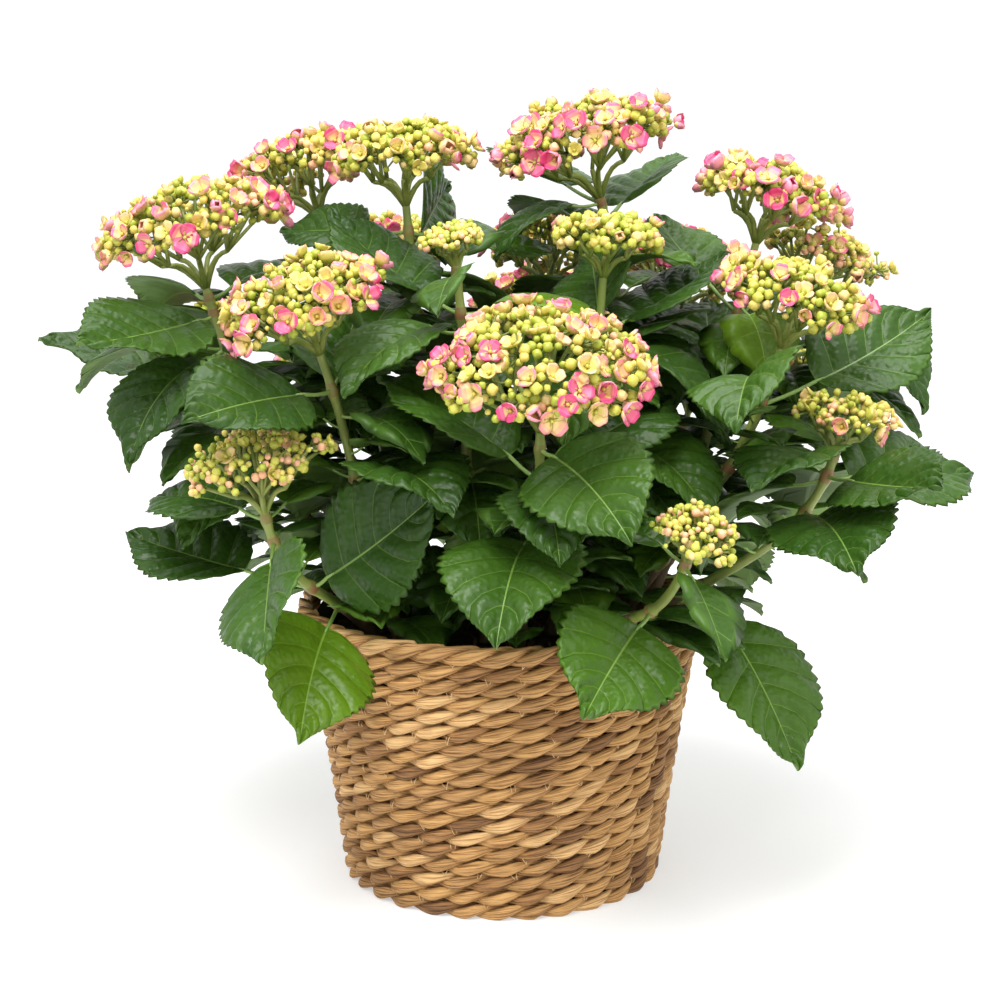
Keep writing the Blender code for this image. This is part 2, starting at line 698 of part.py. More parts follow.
def turned(name, outline, collection, finish):
    """Solid of revolution about Z from an outline that begins and ends on the axis."""
    mesh = bpy.data.meshes.new(name)
    points = [(radius, 0.0, height) for radius, height in outline]
    mesh.from_pydata(points, [(i, i + 1) for i in range(len(points) - 1)], [])
    made = object_from(name, mesh, collection)
    screw = made.modifiers.new("turn", "SCREW")
    screw.steps = screw.render_steps = TURN_STEPS
    screw.use_merge_vertices = True
    screw.merge_threshold = 0.0001
    screw.use_normal_calculate = True
    view = bpy.context.evaluated_depsgraph_get()
    solid = bpy.data.meshes.new_from_object(made.evaluated_get(view))
    made.modifiers.clear()
    made.data = solid
    bm = bmesh.new()
    bm.from_mesh(solid)
    bmesh.ops.remove_doubles(bm, verts=bm.verts, dist=1e-5)
    bmesh.ops.recalc_face_normals(bm, faces=bm.faces)
    bm.to_mesh(solid)
    bm.free()
    solid.materials.clear()
    solid.materials.append(finish)
    solid.shade_smooth()
    solid.set_sharp_from_angle(angle=math.radians(40))
    return made


def make_soil(collection):
    """The filling: a plug with a flat top, clear of the basket by the gap."""
    clear = GAP / math.cos(math.pi / TURN_STEPS) + SOIL_PLAY
    inner_top = float(outer_radius(BASKET_HEIGHT - 2 * RIM_ROPE_RADIUS)) - WALL
    inner_low = BASE_RADIUS - WALL
    slope = (inner_top - inner_low) / (BASKET_HEIGHT - 2 * RIM_ROPE_RADIUS - FLOOR_THICKNESS)
    edge = inner_low + slope * (SOIL_TOP - FLOOR_THICKNESS) - clear
    floor = FLOOR_THICKNESS + GAP
    outline = [(0.0, SOIL_TOP), (edge, SOIL_TOP), (inner_low + slope * GAP - clear, floor), (0.0, floor)]
    return turned("soil", outline, collection, material("peat", PEAT, 0.95))


def make_plant(collection):
    """Canes and shoots."""
    bark = material("bark", BARK, 0.8)
    foliage = material("leaf", LEAF_GREEN, 0.45)
    shoots = [Shoot(name, *plan) for name, plan in SHOOTS.items()]
    leaves = grow_leaves(shoots)
    for shoot in shoots:
        lowest = shoot.length - max(pair[0] for pair in shoot.pairs)
        cut = min(shoot.length * CANE_SHARE, lowest - STEM_FOOT)
        cane = stem_mesh("cane_" + shoot.name, shoot, 0.0, cut, CANE_FOOT_RADIUS, CANE_RADIUS)
        object_from(cane.name, cane, collection, bark)
        stem = stem_mesh("shoot_" + shoot.name, shoot, cut + GAP, shoot.length, STEM_RADIUS, STEM_TOP_RADIUS)
        mass = object_from(stem.name, stem, collection)
        pieces = [leaf_mesh("leaf", leaf) for leaf in leaves[shoot.name]]
        pieces.append(dome_mesh("dome", shoot))
        pieces += ray_meshes("ray", shoot)
        join(mass, pieces)
        keep_largest(mass.data)
        mass.data.materials.clear()
        mass.data.materials.append(foliage)


def main():
    for existing in list(bpy.data.objects):
        bpy.data.objects.remove(existing)
    collection = bpy.data.collections.new(OBJECT_NAME)
    bpy.context.scene.collection.children.link(collection)
    make_basket(collection)
    make_soil(collection)
    make_plant(collection)


main()
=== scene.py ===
import math

import bpy
import numpy as np
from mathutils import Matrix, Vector
from mathutils.kdtree import KDTree


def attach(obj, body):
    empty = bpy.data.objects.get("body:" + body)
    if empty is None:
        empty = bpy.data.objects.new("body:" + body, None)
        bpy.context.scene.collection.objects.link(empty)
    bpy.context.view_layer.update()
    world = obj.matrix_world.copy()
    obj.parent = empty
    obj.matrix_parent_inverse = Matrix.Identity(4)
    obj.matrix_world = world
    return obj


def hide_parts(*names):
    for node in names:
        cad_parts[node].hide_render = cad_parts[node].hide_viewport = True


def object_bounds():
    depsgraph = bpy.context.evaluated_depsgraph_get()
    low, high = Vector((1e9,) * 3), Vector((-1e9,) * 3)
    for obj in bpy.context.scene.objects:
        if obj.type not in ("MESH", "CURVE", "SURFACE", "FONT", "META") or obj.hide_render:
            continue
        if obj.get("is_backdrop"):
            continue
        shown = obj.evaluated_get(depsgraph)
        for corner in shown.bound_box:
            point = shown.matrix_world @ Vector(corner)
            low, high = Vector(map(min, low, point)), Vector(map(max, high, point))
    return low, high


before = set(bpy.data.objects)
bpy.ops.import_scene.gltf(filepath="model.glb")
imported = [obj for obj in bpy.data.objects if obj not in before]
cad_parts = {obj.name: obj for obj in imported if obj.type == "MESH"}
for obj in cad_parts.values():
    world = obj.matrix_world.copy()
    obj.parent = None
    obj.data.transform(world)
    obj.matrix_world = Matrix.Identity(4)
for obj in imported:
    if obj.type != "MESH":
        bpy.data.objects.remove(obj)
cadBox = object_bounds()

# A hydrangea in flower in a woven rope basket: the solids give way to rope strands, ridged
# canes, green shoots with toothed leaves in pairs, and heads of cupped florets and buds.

rng = np.random.default_rng(23)


class Batch:
    # Collects patches of quads and triangles with their material slots and makes one mesh of them.
    def __init__(self):
        self.points, self.quads, self.tris = [], [], []
        self.quadSlots, self.triSlots, self.uvs = [], [], []
        self.count = 0

    def add(self, points, quads, quadSlots=0, tris=None, triSlots=0, uv=None):
        points = np.asarray(points, float).reshape(-1, 3)
        quads = np.asarray(quads)
        self.points.append(points)
        self.quads.append(quads + self.count)
        self.quadSlots.append(np.broadcast_to(quadSlots, len(quads)))
        if tris is not None:
            tris = np.asarray(tris)
            self.tris.append(tris + self.count)
            self.triSlots.append(np.broadcast_to(triSlots, len(tris)))
        if uv is not None:
            self.uvs.append(uv)     # one pair of numbers per corner of each quad
        self.count += len(points)

    def build(self, name, materials):
        # one smooth mesh that rides on the plant's only body
        points = np.vstack(self.points)
        quads = np.vstack(self.quads)
        tris = np.vstack(self.tris) if self.tris else np.zeros((0, 3), int)
        slots = np.concatenate(self.quadSlots + self.triSlots)
        mesh = bpy.data.meshes.new(name)
        mesh.vertices.add(len(points))
        mesh.vertices.foreach_set("co", points.ravel())
        corners = np.concatenate([quads.ravel(), tris.ravel()]).astype(np.int32)
        starts = np.concatenate([np.arange(len(quads)) * 4, len(quads) * 4 + np.arange(len(tris)) * 3])
        mesh.loops.add(len(corners))
        mesh.loops.foreach_set("vertex_index", corners)
        mesh.polygons.add(len(starts))
        mesh.polygons.foreach_set("loop_start", starts.astype(np.int32))
        mesh.polygons.foreach_set("material_index", slots.astype(np.int32))
        mesh.polygons.foreach_set("use_smooth", np.full(len(starts), True))
        if self.uvs:
            layer = mesh.uv_layers.new(name="strandUV")
            flat = np.zeros((len(corners), 2))
            given = np.vstack([u.reshape(-1, 2) for u in self.uvs])
            flat[:len(given)] = given
            layer.data.foreach_set("uv", flat.ravel())
        for material in materials:
            mesh.materials.append(material)
        mesh.update(calc_edges=True)
        mesh.validate()
        piece = put(name, mesh)
        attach(piece, "root")
        print(name, len(quads) * 2 + len(tris), "triangles")
        return piece


def put(name, data):
    piece = bpy.data.objects.new(name, data)
    bpy.context.scene.collection.objects.link(piece)
    return piece


def polar(radius, angle, height):
    # points at a radius and an angle round the upright axis, at a height
    x, y = radius * np.cos(angle), radius * np.sin(angle)
    return np.stack(np.broadcast_arrays(x, y, height), -1)


def gridCells(grid):
    # the four corners of each cell of a grid, in order round it
    return np.stack([grid[:-1, :-1], grid[1:, :-1], grid[1:, 1:], grid[:-1, 1:]], 2)


def ringQuads(rows, ring, closed=False):
    # quads between rings of points, laid so that they face away from the rings' inside
    i = np.arange(rows if closed else rows - 1)[:, None]
    j = np.arange(ring)[None, :]
    after, beside = (i + 1) % rows, (j + 1) % ring
    corners = [i * ring + j, after * ring + j, after * ring + beside, i * ring + beside]
    return np.stack(corners, -1).reshape(-1, 4)


def capTris(rows, ring):
    # fans from the first ring to the point after the rings, and from the last to the one after it
    j = np.arange(ring)
    beside = (j + 1) % ring
    last = (rows - 1) * ring
    first = np.stack([np.full(ring, rows * ring), j, beside], -1)
    final = np.stack([np.full(ring, rows * ring + 1), last + beside, last + j], -1)
    return np.vstack([first, final])


def unit(vectors):
    # each vector over its own length
    return vectors / np.maximum(np.linalg.norm(vectors, axis=-1, keepdims=True), 1e-12)


def tubes(batch, paths, radii, sides, slots=0, aside=(0.31, 0.17, -0.93), relief=None):
    # Closed tubes along many paths at once: a circle of `sides` points stands across each path,
    # in the plane of the two directions square to its heading, and each end closes on a point.
    paths = np.asarray(paths, float)
    many, rows = paths.shape[:2]
    heading = unit(np.gradient(paths, axis=1))
    first = unit(np.cross(heading, np.broadcast_to(np.asarray(aside, float), paths.shape)))
    second = np.cross(heading, first)
    turn = np.arange(sides) * math.tau / sides
    radii = np.broadcast_to(radii, (many, rows))[:, :, None]
    if relief is not None:
        radii = radii * relief
    circle = first[:, :, None] * np.cos(turn)[:, None] - second[:, :, None] * np.sin(turn)[:, None]
    rings = paths[:, :, None] + circle * radii[..., None]
    points = np.concatenate([rings.reshape(many, -1, 3), paths[:, :1], paths[:, -1:]], axis=1)
    offset = np.arange(many)[:, None, None] * (rows * sides + 2)
    quads = (ringQuads(rows, sides)[None] + offset).reshape(-1, 4)
    tris = (capTris(rows, sides)[None] + offset).reshape(-1, 3)
    batch.add(points, quads, slots, tris, slots if np.ndim(slots) == 0 else 0)


def finish(name, colour, other, spot=30.0, rough=0.5, bump=0.0, grain=200.0, stretch=(1, 1, 1),
           coords="Object", cells=False, gloss=0.5, detail=4.0, ramp=(0.36, 0.64)):
    # Principled surface: two near colours mixed by a soft noise, and a fine relief of noise or cells.
    made = bpy.data.materials.new(name)
    made.use_nodes = True
    nodes, links = made.node_tree.nodes, made.node_tree.links
    shader = nodes["Principled BSDF"]
    where = nodes.new("ShaderNodeTexCoord")
    spread = nodes.new("ShaderNodeMapping")
    spread.inputs["Scale"].default_value = stretch
    links.new(where.outputs[coords], spread.inputs["Vector"])
    cloud = nodes.new("ShaderNodeTexNoise")
    cloud.inputs["Scale"].default_value = spot
    cloud.inputs["Detail"].default_value = detail
    links.new(spread.outputs["Vector"], cloud.inputs["Vector"])
    blend = nodes.new("ShaderNodeValToRGB")
    blend.color_ramp.elements[0].position, blend.color_ramp.elements[1].position = ramp
    blend.color_ramp.elements[0].color = (*colour, 1)
    blend.color_ramp.elements[1].color = (*other, 1)
    links.new(cloud.outputs["Fac"], blend.inputs["Fac"])
    links.new(blend.outputs["Color"], shader.inputs["Base Color"])
    shader.inputs["Roughness"].default_value = rough
    shader.inputs["Specular IOR Level"].default_value = gloss

    if bump:
        if cells:
            relief = nodes.new("ShaderNodeTexVoronoi")
            relief.feature = "SMOOTH_F1"
            out = "Distance"
        else:
            relief = nodes.new("ShaderNodeTexNoise")
            relief.inputs["Detail"].default_value = 5
            out = "Fac"
        relief.inputs["Scale"].default_value = grain
        links.new(spread.outputs["Vector"], relief.inputs["Vector"])
        raised = nodes.new("ShaderNodeBump")
        raised.inputs["Strength"].default_value = 0.6
        raised.inputs["Distance"].default_value = bump
        raised.invert = cells
        links.new(relief.outputs[out], raised.inputs["Height"])
        links.new(raised.outputs["Normal"], shader.inputs["Normal"])
    return made


# The planting: each shoot's cane foot (x, y), start, fork (x, y, z), head lean, head width
# and leaf pairs as (distance below the fork, leaf, opposite leaf), as the solids have them

shootPlan = {
    "left_low": ((-0.085, -0.035), 50, (-0.148, -0.120, 0.276), (205, 10), 0.097, (
        (0.006, (135, 28, 26, -19, 0.094, 0.026), (75, 30, 40, 0, 0.080)),
        (0.022, (272, -11, 31, 45, 0.095, 0.031), 80),
        (0.072, (325, 33, -10, 80, 0.104, 0.014), (153, 7, -4, -19, 0.097, 0.051)),
        (0.104, (263, -10, 40, -36, 0.102, 0.037)),
    )),
    "front": ((0.010, -0.060), 60, (0.023, -0.145, 0.332), (268, 18), 0.133, (
        (0.014, (298, -7, 30, 27, 0.101, 0.016)),
        (0.037, (153, 35, 22, -6, 0.105, 0.024), (47, 20, 13, 15, 0.094, 0.044)),
        (0.080, (259, 3, 54, 1, 0.109, 0.028)),
        (0.136, (148, -15, 8, -43, 0.071, 0.048), (126, 29, 57, -20, 0.096, 0.026)),
    )),
    "front_left": ((-0.066, -0.045), 60, (-0.115, -0.090, 0.372), (215, 22), 0.106, (
        (0.028, (229, 11, 13, -29, 0.099, 0.026), (51, 7, -14, 14, 0.100, 0.014)),
        (0.090, 125), (0.130, 200), (0.170, 80, 140),
    )),
    "left": ((-0.070, 0.000), 42, (-0.199, 0.010, 0.404), (180, 14), 0.127, (
        (0.010, (120, 5, 40, 15, 0.090), (50, 20, 40, 0, 0.090)),
        (0.021, (231, -25, -7, -21, 0.106, 0.014), 100),
        (0.090, (133, -11, -8, -24, 0.087, 0.046), (321, -8, -15, 14, 0.100, 0.014)),
        (0.140, 240),
    )),
    "right_low": ((0.088, -0.035), 50, (0.213, -0.078, 0.307), (340, 12), 0.072, (
        (0.004, (233, 12, 38, 5, 0.090, 0.017), (110, 25, 30, 0, 0.080)),
        (0.020, (32, -1, 8, 25, 0.110, 0.021), 150),
        (0.018, (296, 4, -6, 26, 0.095, 0.024), 90),
        (0.046, (276, 7, 32, 16, 0.101, 0.030)),
        (0.134, (307, -38, 23, -1, 0.109, 0.032), 110),
    )),
    "front_low": ((0.070, -0.060), 52, (0.110, -0.185, 0.260), (310, 25), 0.060, (
        (0.004, (286, -2, 24, -30, 0.066, 0.014), (125, 20, 45, 0, 0.070)),
        (0.064, (247, -12, 13, -33, 0.101, 0.022), (46, -22, -15, 13, 0.075, 0.014)),
    )),
    "centre": ((0.035, -0.010), 70, (0.066, -0.030, 0.415), (20, 4), 0.076, (
        (0.038, (32, 15, -15, -6, 0.105, 0.022), (92, 46, 29, -40, 0.099, 0.018)),
        (0.052, (61, 13, 22, -2, 0.095, 0.024), 240),
        (0.110, 320), (0.160, 50),
    )),
    "right": ((0.075, -0.005), 55, (0.181, -0.050, 0.371), (340, 15), 0.100, (
        (0.042, (27, 17, -15, 32, 0.103, 0.045), (256, 28, 82, 22, 0.096, 0.044)),
        (0.090, 330), (0.130, 60), (0.170, 320),
    )),
    "top": ((0.045, 0.030), 70, (0.067, 0.055, 0.461), (175, 16), 0.124, (
        (0.005, (117, 12, 5, 12, 0.103, 0.049), 200),
        (0.016, (60, 22, 4, -16, 0.090, 0.024), 250),
        (0.045, (126, 42, 67, 8, 0.088, 0.034)),
        (0.095, 290), (0.150, 20), (0.205, 100),
    )),
    "top_left": ((-0.005, 0.020), 65, (-0.065, 0.030, 0.458), (190, 5), 0.102, (
        (0.020, (150, -8, 5, -29, 0.087, 0.034), (44, -2, -7, 15, 0.098, 0.042)),
        (0.036, (66, 28, 0, 79, 0.099, 0.039), 190),
        (0.110, 150), (0.165, 240), (0.215, 330),
    )),
    "top_right": ((0.095, 0.010), 62, (0.174, 0.040, 0.432), (15, 15), 0.101, (
        (0.052, (114, 25, -5, 4, 0.086, 0.052), (335, 15, 45, 0, 0.095)),
        (0.123, (74, 56, 33, -6, 0.106, 0.023), 260),
        (0.160, 340),
    )),
    "centre_bud": ((-0.010, -0.030), 70, (-0.030, -0.050, 0.424), (200, 8), 0.050, (
        (0.008, (262, 2, 41, 28, 0.058, 0.025), (80, 30, 40, 0, 0.060)),
        (0.034, (137, 24, -15, -2, 0.099, 0.030)),
        (0.084, (258, 4, 68, 35, 0.093, 0.039)),
        (0.140, 120),
    )),
    "left_rear": ((-0.045, 0.045), 60, (-0.131, 0.110, 0.445), (150, 22), 0.108, (
        (0.065, 190), (0.120, 110), (0.180, 200),
    )),
    "right_rear": ((0.090, 0.035), 50, (0.219, 0.085, 0.389), (20, 22), 0.095, (
        (0.004, (124, 25, 14, 18, 0.099, 0.028), 330),
        (0.060, 60), (0.110, 350), (0.165, 70),
    )),
    "rear_left": ((-0.070, 0.060), 50, (-0.205, 0.160, 0.330), (150, 25), 0.090, (
        (0.020, (190, 17, 1, -17, 0.113, 0.038)),
        (0.075, 110), (0.120, 200),
    )),
    "rear_top_left": ((-0.025, 0.070), 62, (-0.085, 0.205, 0.380), (115, 25), 0.105, (
        (0.020, 140), (0.065, 60), (0.115, 150), (0.170, 70),
    )),
    "rear_top": ((0.020, 0.060), 66, (0.035, 0.185, 0.385), (80, 22), 0.105, (
        (0.022, 100), (0.070, 10), (0.120, 100), (0.175, 190),
    )),
    "rear_top_right": ((0.060, 0.065), 60, (0.135, 0.200, 0.365), (60, 25), 0.110, (
        (0.020, 25), (0.065, 115), (0.115, 20), (0.170, 110),
    )),
    "rear_right": ((0.078, 0.047), 60, (0.235, 0.175, 0.290), (40, 28), 0.085, (
        (0.015, 350), (0.055, 75), (0.105, 340), (0.150, 60),
    )),
    "rear_low_left": ((-0.045, 0.078), 56, (-0.120, 0.255, 0.305), (115, 30), 0.095, (
        (0.015, 160), (0.055, 80), (0.105, 170),
    )),
    "rear_low": ((0.010, 0.085), 56, (0.030, 0.270, 0.330), (85, 28), 0.110, (
        (0.018, 130), (0.060, 45), (0.110, 130),
    )),
    "rear_low_right": ((0.048, 0.078), 58, (0.150, 0.265, 0.280), (60, 30), 0.085, (
        (0.015, 10), (0.055, 100), (0.105, 15),
    )),
}
growth = {
    "soilTop": 0.167, "gap": 0.0003, "footHeight": 0.005, "caneShare": 0.42, "stemFoot": 0.008,
    "startReach": 0.35, "endReach": 0.40, "pathPoints": 60, "cloudStep": 0.006,
    "usualLeaf": (5, 62, 0, 0.100), "fillLeaf": (-12, 62, 0, 0.095),
    "fillStart": 0.045, "fillStep": 0.022, "fillPairs": 8, "fillTurn": 97, "mostLeaves": 178,
    "underside": 0.161, "undersideSlope": 0.45,
    "leafClear": 0.0078, "stemClear": 0.0085, "ownStemClear": 0.0065,
    "headClear": 0.011, "ownHeadClear": 0.007, "potClear": 0.005,
}
leafForm = {"halfWidth": 0.39, "fold": 14, "cup": 0.10, "petiole": 0.022,
            "basePower": 0.62, "tipPower": 0.93}
pot = {
    "rimRadius": 0.140, "baseRadius": 0.1095, "height": 0.192, "rimRope": 0.0065, "rows": 17,
    "wall": 0.0095, "floor": 0.010, "flare": 0.14, "flarePower": 4,
}
dome = {"bumps": 15, "usual": 0.100, "cloud": 3, "height": 0.34, "stalk": 0.27,
        "underRadius": 0.30, "underDepth": 0.16, "reach": 1.12}
goldenAngle = math.radians(137.508)


def direction(azimuth, elevation):
    # the unit vector at two angles in degrees: round from +X, and up from level
    a, e = math.radians(azimuth), math.radians(elevation)
    return np.array([math.cos(a) * math.cos(e), math.sin(a) * math.cos(e), math.sin(e)])


class Shoot:
    # A cubic curve from an upright foot in the soil to the fork, in the head's own heading there.
    def __init__(self, name, foot, start, fork, lean, headWidth, pairs):
        self.name, self.pairs, self.headWidth = name, pairs, headWidth
        self.fork = np.array(fork)
        self.axis = direction(lean[0], 90 - lean[1])
        cut = np.array([foot[0], foot[1], growth["soilTop"] + growth["gap"]])
        foot = cut + np.array([0.0, 0.0, growth["footHeight"]])
        reach = np.linalg.norm(self.fork - foot)
        self.azimuth = math.degrees(math.atan2(self.fork[1] - foot[1], self.fork[0] - foot[0]))
        corners = np.array([
            foot,
            foot + growth["startReach"] * reach * direction(self.azimuth, start),
            self.fork - growth["endReach"] * reach * self.axis,
            self.fork,
        ])
        t = np.linspace(0.0, 1.0, growth["pathPoints"])[:, None]
        weights = np.hstack([(1 - t) ** 3, 3 * (1 - t) ** 2 * t, 3 * (1 - t) * t ** 2, t ** 3])
        self.path = np.vstack([cut, weights @ corners])
        steps = np.linalg.norm(np.diff(self.path, axis=0), axis=1)
        self.along = np.concatenate([[0.0], np.cumsum(steps)])
        self.length = self.along[-1]
        lowest = self.length - max(pair[0] for pair in pairs)
        self.cut = min(self.length * growth["caneShare"], lowest - growth["stemFoot"])
        self.leaves = []

    def at(self, distance):
        # points at distances along the stem from the soil
        return np.stack([np.interp(distance, self.along, self.path[:, i]) for i in range(3)], -1)

    def cloud(self):
        return self.at(np.arange(0.0, self.length, growth["cloudStep"]))


class Leaf:
    # A petiole, and a blade whose midrib bends down evenly from base to tip.
    def __init__(self, shoot, below, azimuth, rise, bend, roll, length, petiole=leafForm["petiole"]):
        self.shoot, self.below, self.node = shoot, below, shoot.at(shoot.length - below)
        self.azimuth, self.rise, self.bend, self.roll = azimuth, rise, bend, roll
        self.length, self.petiole = length, petiole
        self.tries, self.filling = leafTries, False

    def turned(self, turn, lift, scale):
        # the same leaf swung round its stem, raised and made smaller
        other = Leaf.__new__(Leaf)
        other.__dict__.update(self.__dict__)
        other.azimuth += turn
        other.rise += lift
        other.length *= scale
        return other

    def place(self, t, across, lift=0.0):
        # midrib point at t, plus the distance across on the folded and cupped half, plus lift
        t, across = np.broadcast_arrays(np.asarray(t, float), np.asarray(across, float))
        azimuth, rise, roll = map(math.radians, (self.azimuth, self.rise, self.roll))
        bend = math.radians(self.bend) or 1e-3
        out = np.array([math.cos(azimuth), math.sin(azimuth), 0.0])
        side = np.array([-math.sin(azimuth), math.cos(azimuth), 0.0])
        up = np.array([0.0, 0.0, 1.0])
        slope = (rise - bend * t)[..., None]
        start = self.node + self.petiole * (math.cos(rise) * out + math.sin(rise) * up)
        midrib = start + self.length / bend * (
            (math.sin(rise) - np.sin(slope)) * out + (np.cos(slope) - math.cos(rise)) * up)
        square = np.cos(slope) * up - np.sin(slope) * out
        level = side * math.cos(roll) + square * math.sin(roll)
        square = square * math.cos(roll) - side * math.sin(roll)
        half = np.maximum(halfWidth(t) * self.length * leafForm["halfWidth"], 1e-9)
        fold = math.radians(leafForm["fold"])
        height = np.abs(across) * math.sin(fold) - leafForm["cup"] * across ** 2 / half + lift
        return midrib + level * (across * math.cos(fold))[..., None] + square * height[..., None]

    def bladeCloud(self):
        t, v = np.meshgrid(np.linspace(0.1, 0.97, 9), np.linspace(-1, 1, 7))
        t, v = t.ravel(), v.ravel()
        return self.place(t, v * halfWidth(t) * self.length * leafForm["halfWidth"])

    def petioleCloud(self):
        end = self.place([0.0], [0.0])[0]
        return self.node + np.linspace(0.45, 1.0, 3)[:, None] * (end - self.node)


def halfWidth(t):
    # ovate outline: rises as t to a power to its widest, falls as (1 - t) to another
    base, tip = leafForm["basePower"], leafForm["tipPower"]
    widest = base / (base + tip)
    t = np.clip(t, 0.0, 1.0)
    return (t / widest) ** base * ((1 - t) / (1 - widest)) ** tip


def potRadius(height):
    # widens evenly with height, and by a power of it towards the rim
    share = np.clip(np.asarray(height, float) / pot["height"], 0.0, 1.0)
    widening = (1 - pot["flare"]) * share + pot["flare"] * share ** pot["flarePower"]
    return pot["baseRadius"] + (pot["rimRadius"] - pot["baseRadius"]) * widening


def inPot(points):
    # true in the basket's wall or soil, or below the floor, each a clearance wider
    radius, height = np.hypot(points[:, 0], points[:, 1]), points[:, 2]
    outside, clear = potRadius(height), growth["potClear"]
    wall = (height < pot["height"] + clear) & (radius < outside + clear)
    hollow = (height > growth["soilTop"] + clear) & (radius < outside - pot["wall"] - 2 * clear)
    return (wall & ~hollow) | (height < clear)


leafTries = [(turn, lift, scale) for scale in (1.0, 0.85, 0.7) for turn, lift in (
    (0, 0), (7, 0), (-7, 0), (0, 8), (0, -8), (14, 6), (-14, 6), (14, -10), (-14, -10),
    (24, 0), (-24, 0), (0, 18), (0, -20), (34, 10), (-34, 10))]
fillTries = [(turn, lift, scale) for scale in (1.0, 0.85, 0.7) for lift in (0, -20, 20)
             for turn in (0, 30, -30, 60, -60, 90, -90)]


class Space:
    # Points of all that is grown, each with its kind and shoot, for new leaves to keep clear of.
    def __init__(self):
        self.points, self.owners, self.tree = [], [], None
        self.ease = 1.0

    def add(self, points, kind, name):
        self.points += [tuple(point) for point in points]
        self.owners += [(kind, name)] * len(points)
        self.tree = KDTree(len(self.points))
        for index, point in enumerate(self.points):
            self.tree.insert(point, index)
        self.tree.balance()

    def hasRoom(self, leaf):
        # clear of the pot, of the crown's underside and of all that is grown
        blade, stalk = leaf.bladeCloud(), leaf.petioleCloud()
        if inPot(np.vstack([blade, stalk])).any():
            return False
        underside = growth["underside"] + growth["undersideSlope"] * np.hypot(blade[:, 0], blade[:, 1])
        if leaf.filling and (blade[:, 2] < underside).any():
            return False
        own = {"stem": growth["stemClear"], "head": growth["ownHeadClear"], "leaf": growth["leafClear"]}
        other = {"stem": growth["stemClear"], "head": growth["headClear"], "leaf": growth["leafClear"]}
        ownStalk = {"stem": growth["ownStemClear"], "head": 0.0, "leaf": growth["leafClear"]}
        for points, ownClear in ((blade, own), (stalk, ownStalk)):
            for point in points:
                for _, index, distance in self.tree.find_range(point, growth["headClear"]):
                    kind, name = self.owners[index]
                    clear = ownClear if name == leaf.shoot.name else other
                    if distance < clear[kind] * self.ease:
                        return False
        return True

    def grow(self, leaves, most):
        # each leaf takes the first of its turns, lifts and sizes that has room
        grown = 0
        for leaf in leaves:
            if grown == most:
                break
            for turn, lift, scale in leaf.tries:
                tried = leaf.turned(turn, lift, scale)
                if self.hasRoom(tried):
                    leaf.shoot.leaves.append(tried)
                    self.add(tried.bladeCloud(), "leaf", leaf.shoot.name)
                    self.add(tried.petioleCloud(), "leaf", leaf.shoot.name)
                    grown += 1
                    break
        return grown


def headFrame(axis):
    # the rotation from upright to a head's own axis
    return np.array(Vector((0, 0, 1)).rotation_difference(Vector(axis)).to_matrix())


def domeSites(count, reach):
    # even spread over a dome: each site is one golden angle on and one step further from the top
    i = np.arange(count)
    lean = np.arccos(1 - reach * (i + 0.5) / count)
    return polar(np.sin(lean), i * goldenAngle, np.cos(lean))


def headPoints(shoot, share):
    # a dome of the head's width, flattened, and a ring of points under it
    width = shoot.headWidth
    count = share * max(9, round(dome["bumps"] * width / dome["usual"]))
    middle = shoot.fork + shoot.axis * dome["stalk"] * width
    tops = domeSites(count, dome["reach"]) * np.array([0.5, 0.5, dome["height"]]) * width
    ring = max(5, count // 3)
    angle = np.arange(ring) * math.tau / ring
    under = polar(dome["underRadius"], angle, -dome["underDepth"]) * width
    return middle + np.vstack([tops, under]) @ headFrame(shoot.axis).T


def leafOrder(shoots):
    # leaves with a place of their own, then the usual ones, then those that fill what is left
    own, usual, filling = [], [], []
    for shoot in shoots:
        for below, first, *second in shoot.pairs:
            if not second:
                second = [(first[0] if isinstance(first, tuple) else first) + 180]
            for leaf in (first, *second):
                if isinstance(leaf, tuple):
                    own.append(Leaf(shoot, below, *leaf))
                else:
                    usual.append(Leaf(shoot, below, leaf, *growth["usualLeaf"]))
    for step in range(growth["fillPairs"]):
        below = growth["fillStart"] + growth["fillStep"] * step
        for count, shoot in enumerate(shoots):
            if below < shoot.length * (1 - growth["caneShare"]) - growth["stemFoot"]:
                azimuth = growth["fillTurn"] * (count + step)
                for turn in (0, 180):
                    filling.append(Leaf(shoot, below, azimuth + turn, *growth["fillLeaf"]))
    for leaf in filling:
        leaf.tries, leaf.filling = fillTries, True
    return own + usual + filling


# Smaller leaves that the solids leave out, on the same stems and inside the same crown
young = {
    "leaf": (5, 45, 0, 0.062, 0.015),       # rise, bend, roll, length, petiole
    "start": 0.020, "step": 0.017, "steps": 18, "turn": 61, "turnPerStep": 3,
    "caneShare": 0.30, "most": 230, "ease": 0.62,
}


def youngLeaves(shoots):
    # pairs at even steps down each stem and the top of its cane, the lowest first
    leaves = []
    for step in reversed(range(young["steps"])):
        for count, shoot in enumerate(shoots):
            below = young["start"] + young["step"] * step
            if below < shoot.length - young["caneShare"] * shoot.cut:
                azimuth = young["turn"] * (step * young["turnPerStep"] + count)
                for turn in (0, 180):
                    leaf = Leaf(shoot, below, azimuth + turn, *young["leaf"])
                    leaf.tries, leaf.filling = fillTries, below < shoot.length - shoot.cut
                    leaves.append(leaf)
    return leaves


shoots = [Shoot(name, *plan) for name, plan in shootPlan.items()]
space = Space()
for shoot in shoots:
    space.add(shoot.cloud(), "stem", shoot.name)
    space.add(headPoints(shoot, dome["cloud"]), "head", shoot.name)
grownLeaves = space.grow(leafOrder(shoots), growth["mostLeaves"])
space.ease = young["ease"]
grownYoung = space.grow(youngLeaves(shoots), young["most"])
print("leaves:", grownLeaves, "and", grownYoung, "young ones")


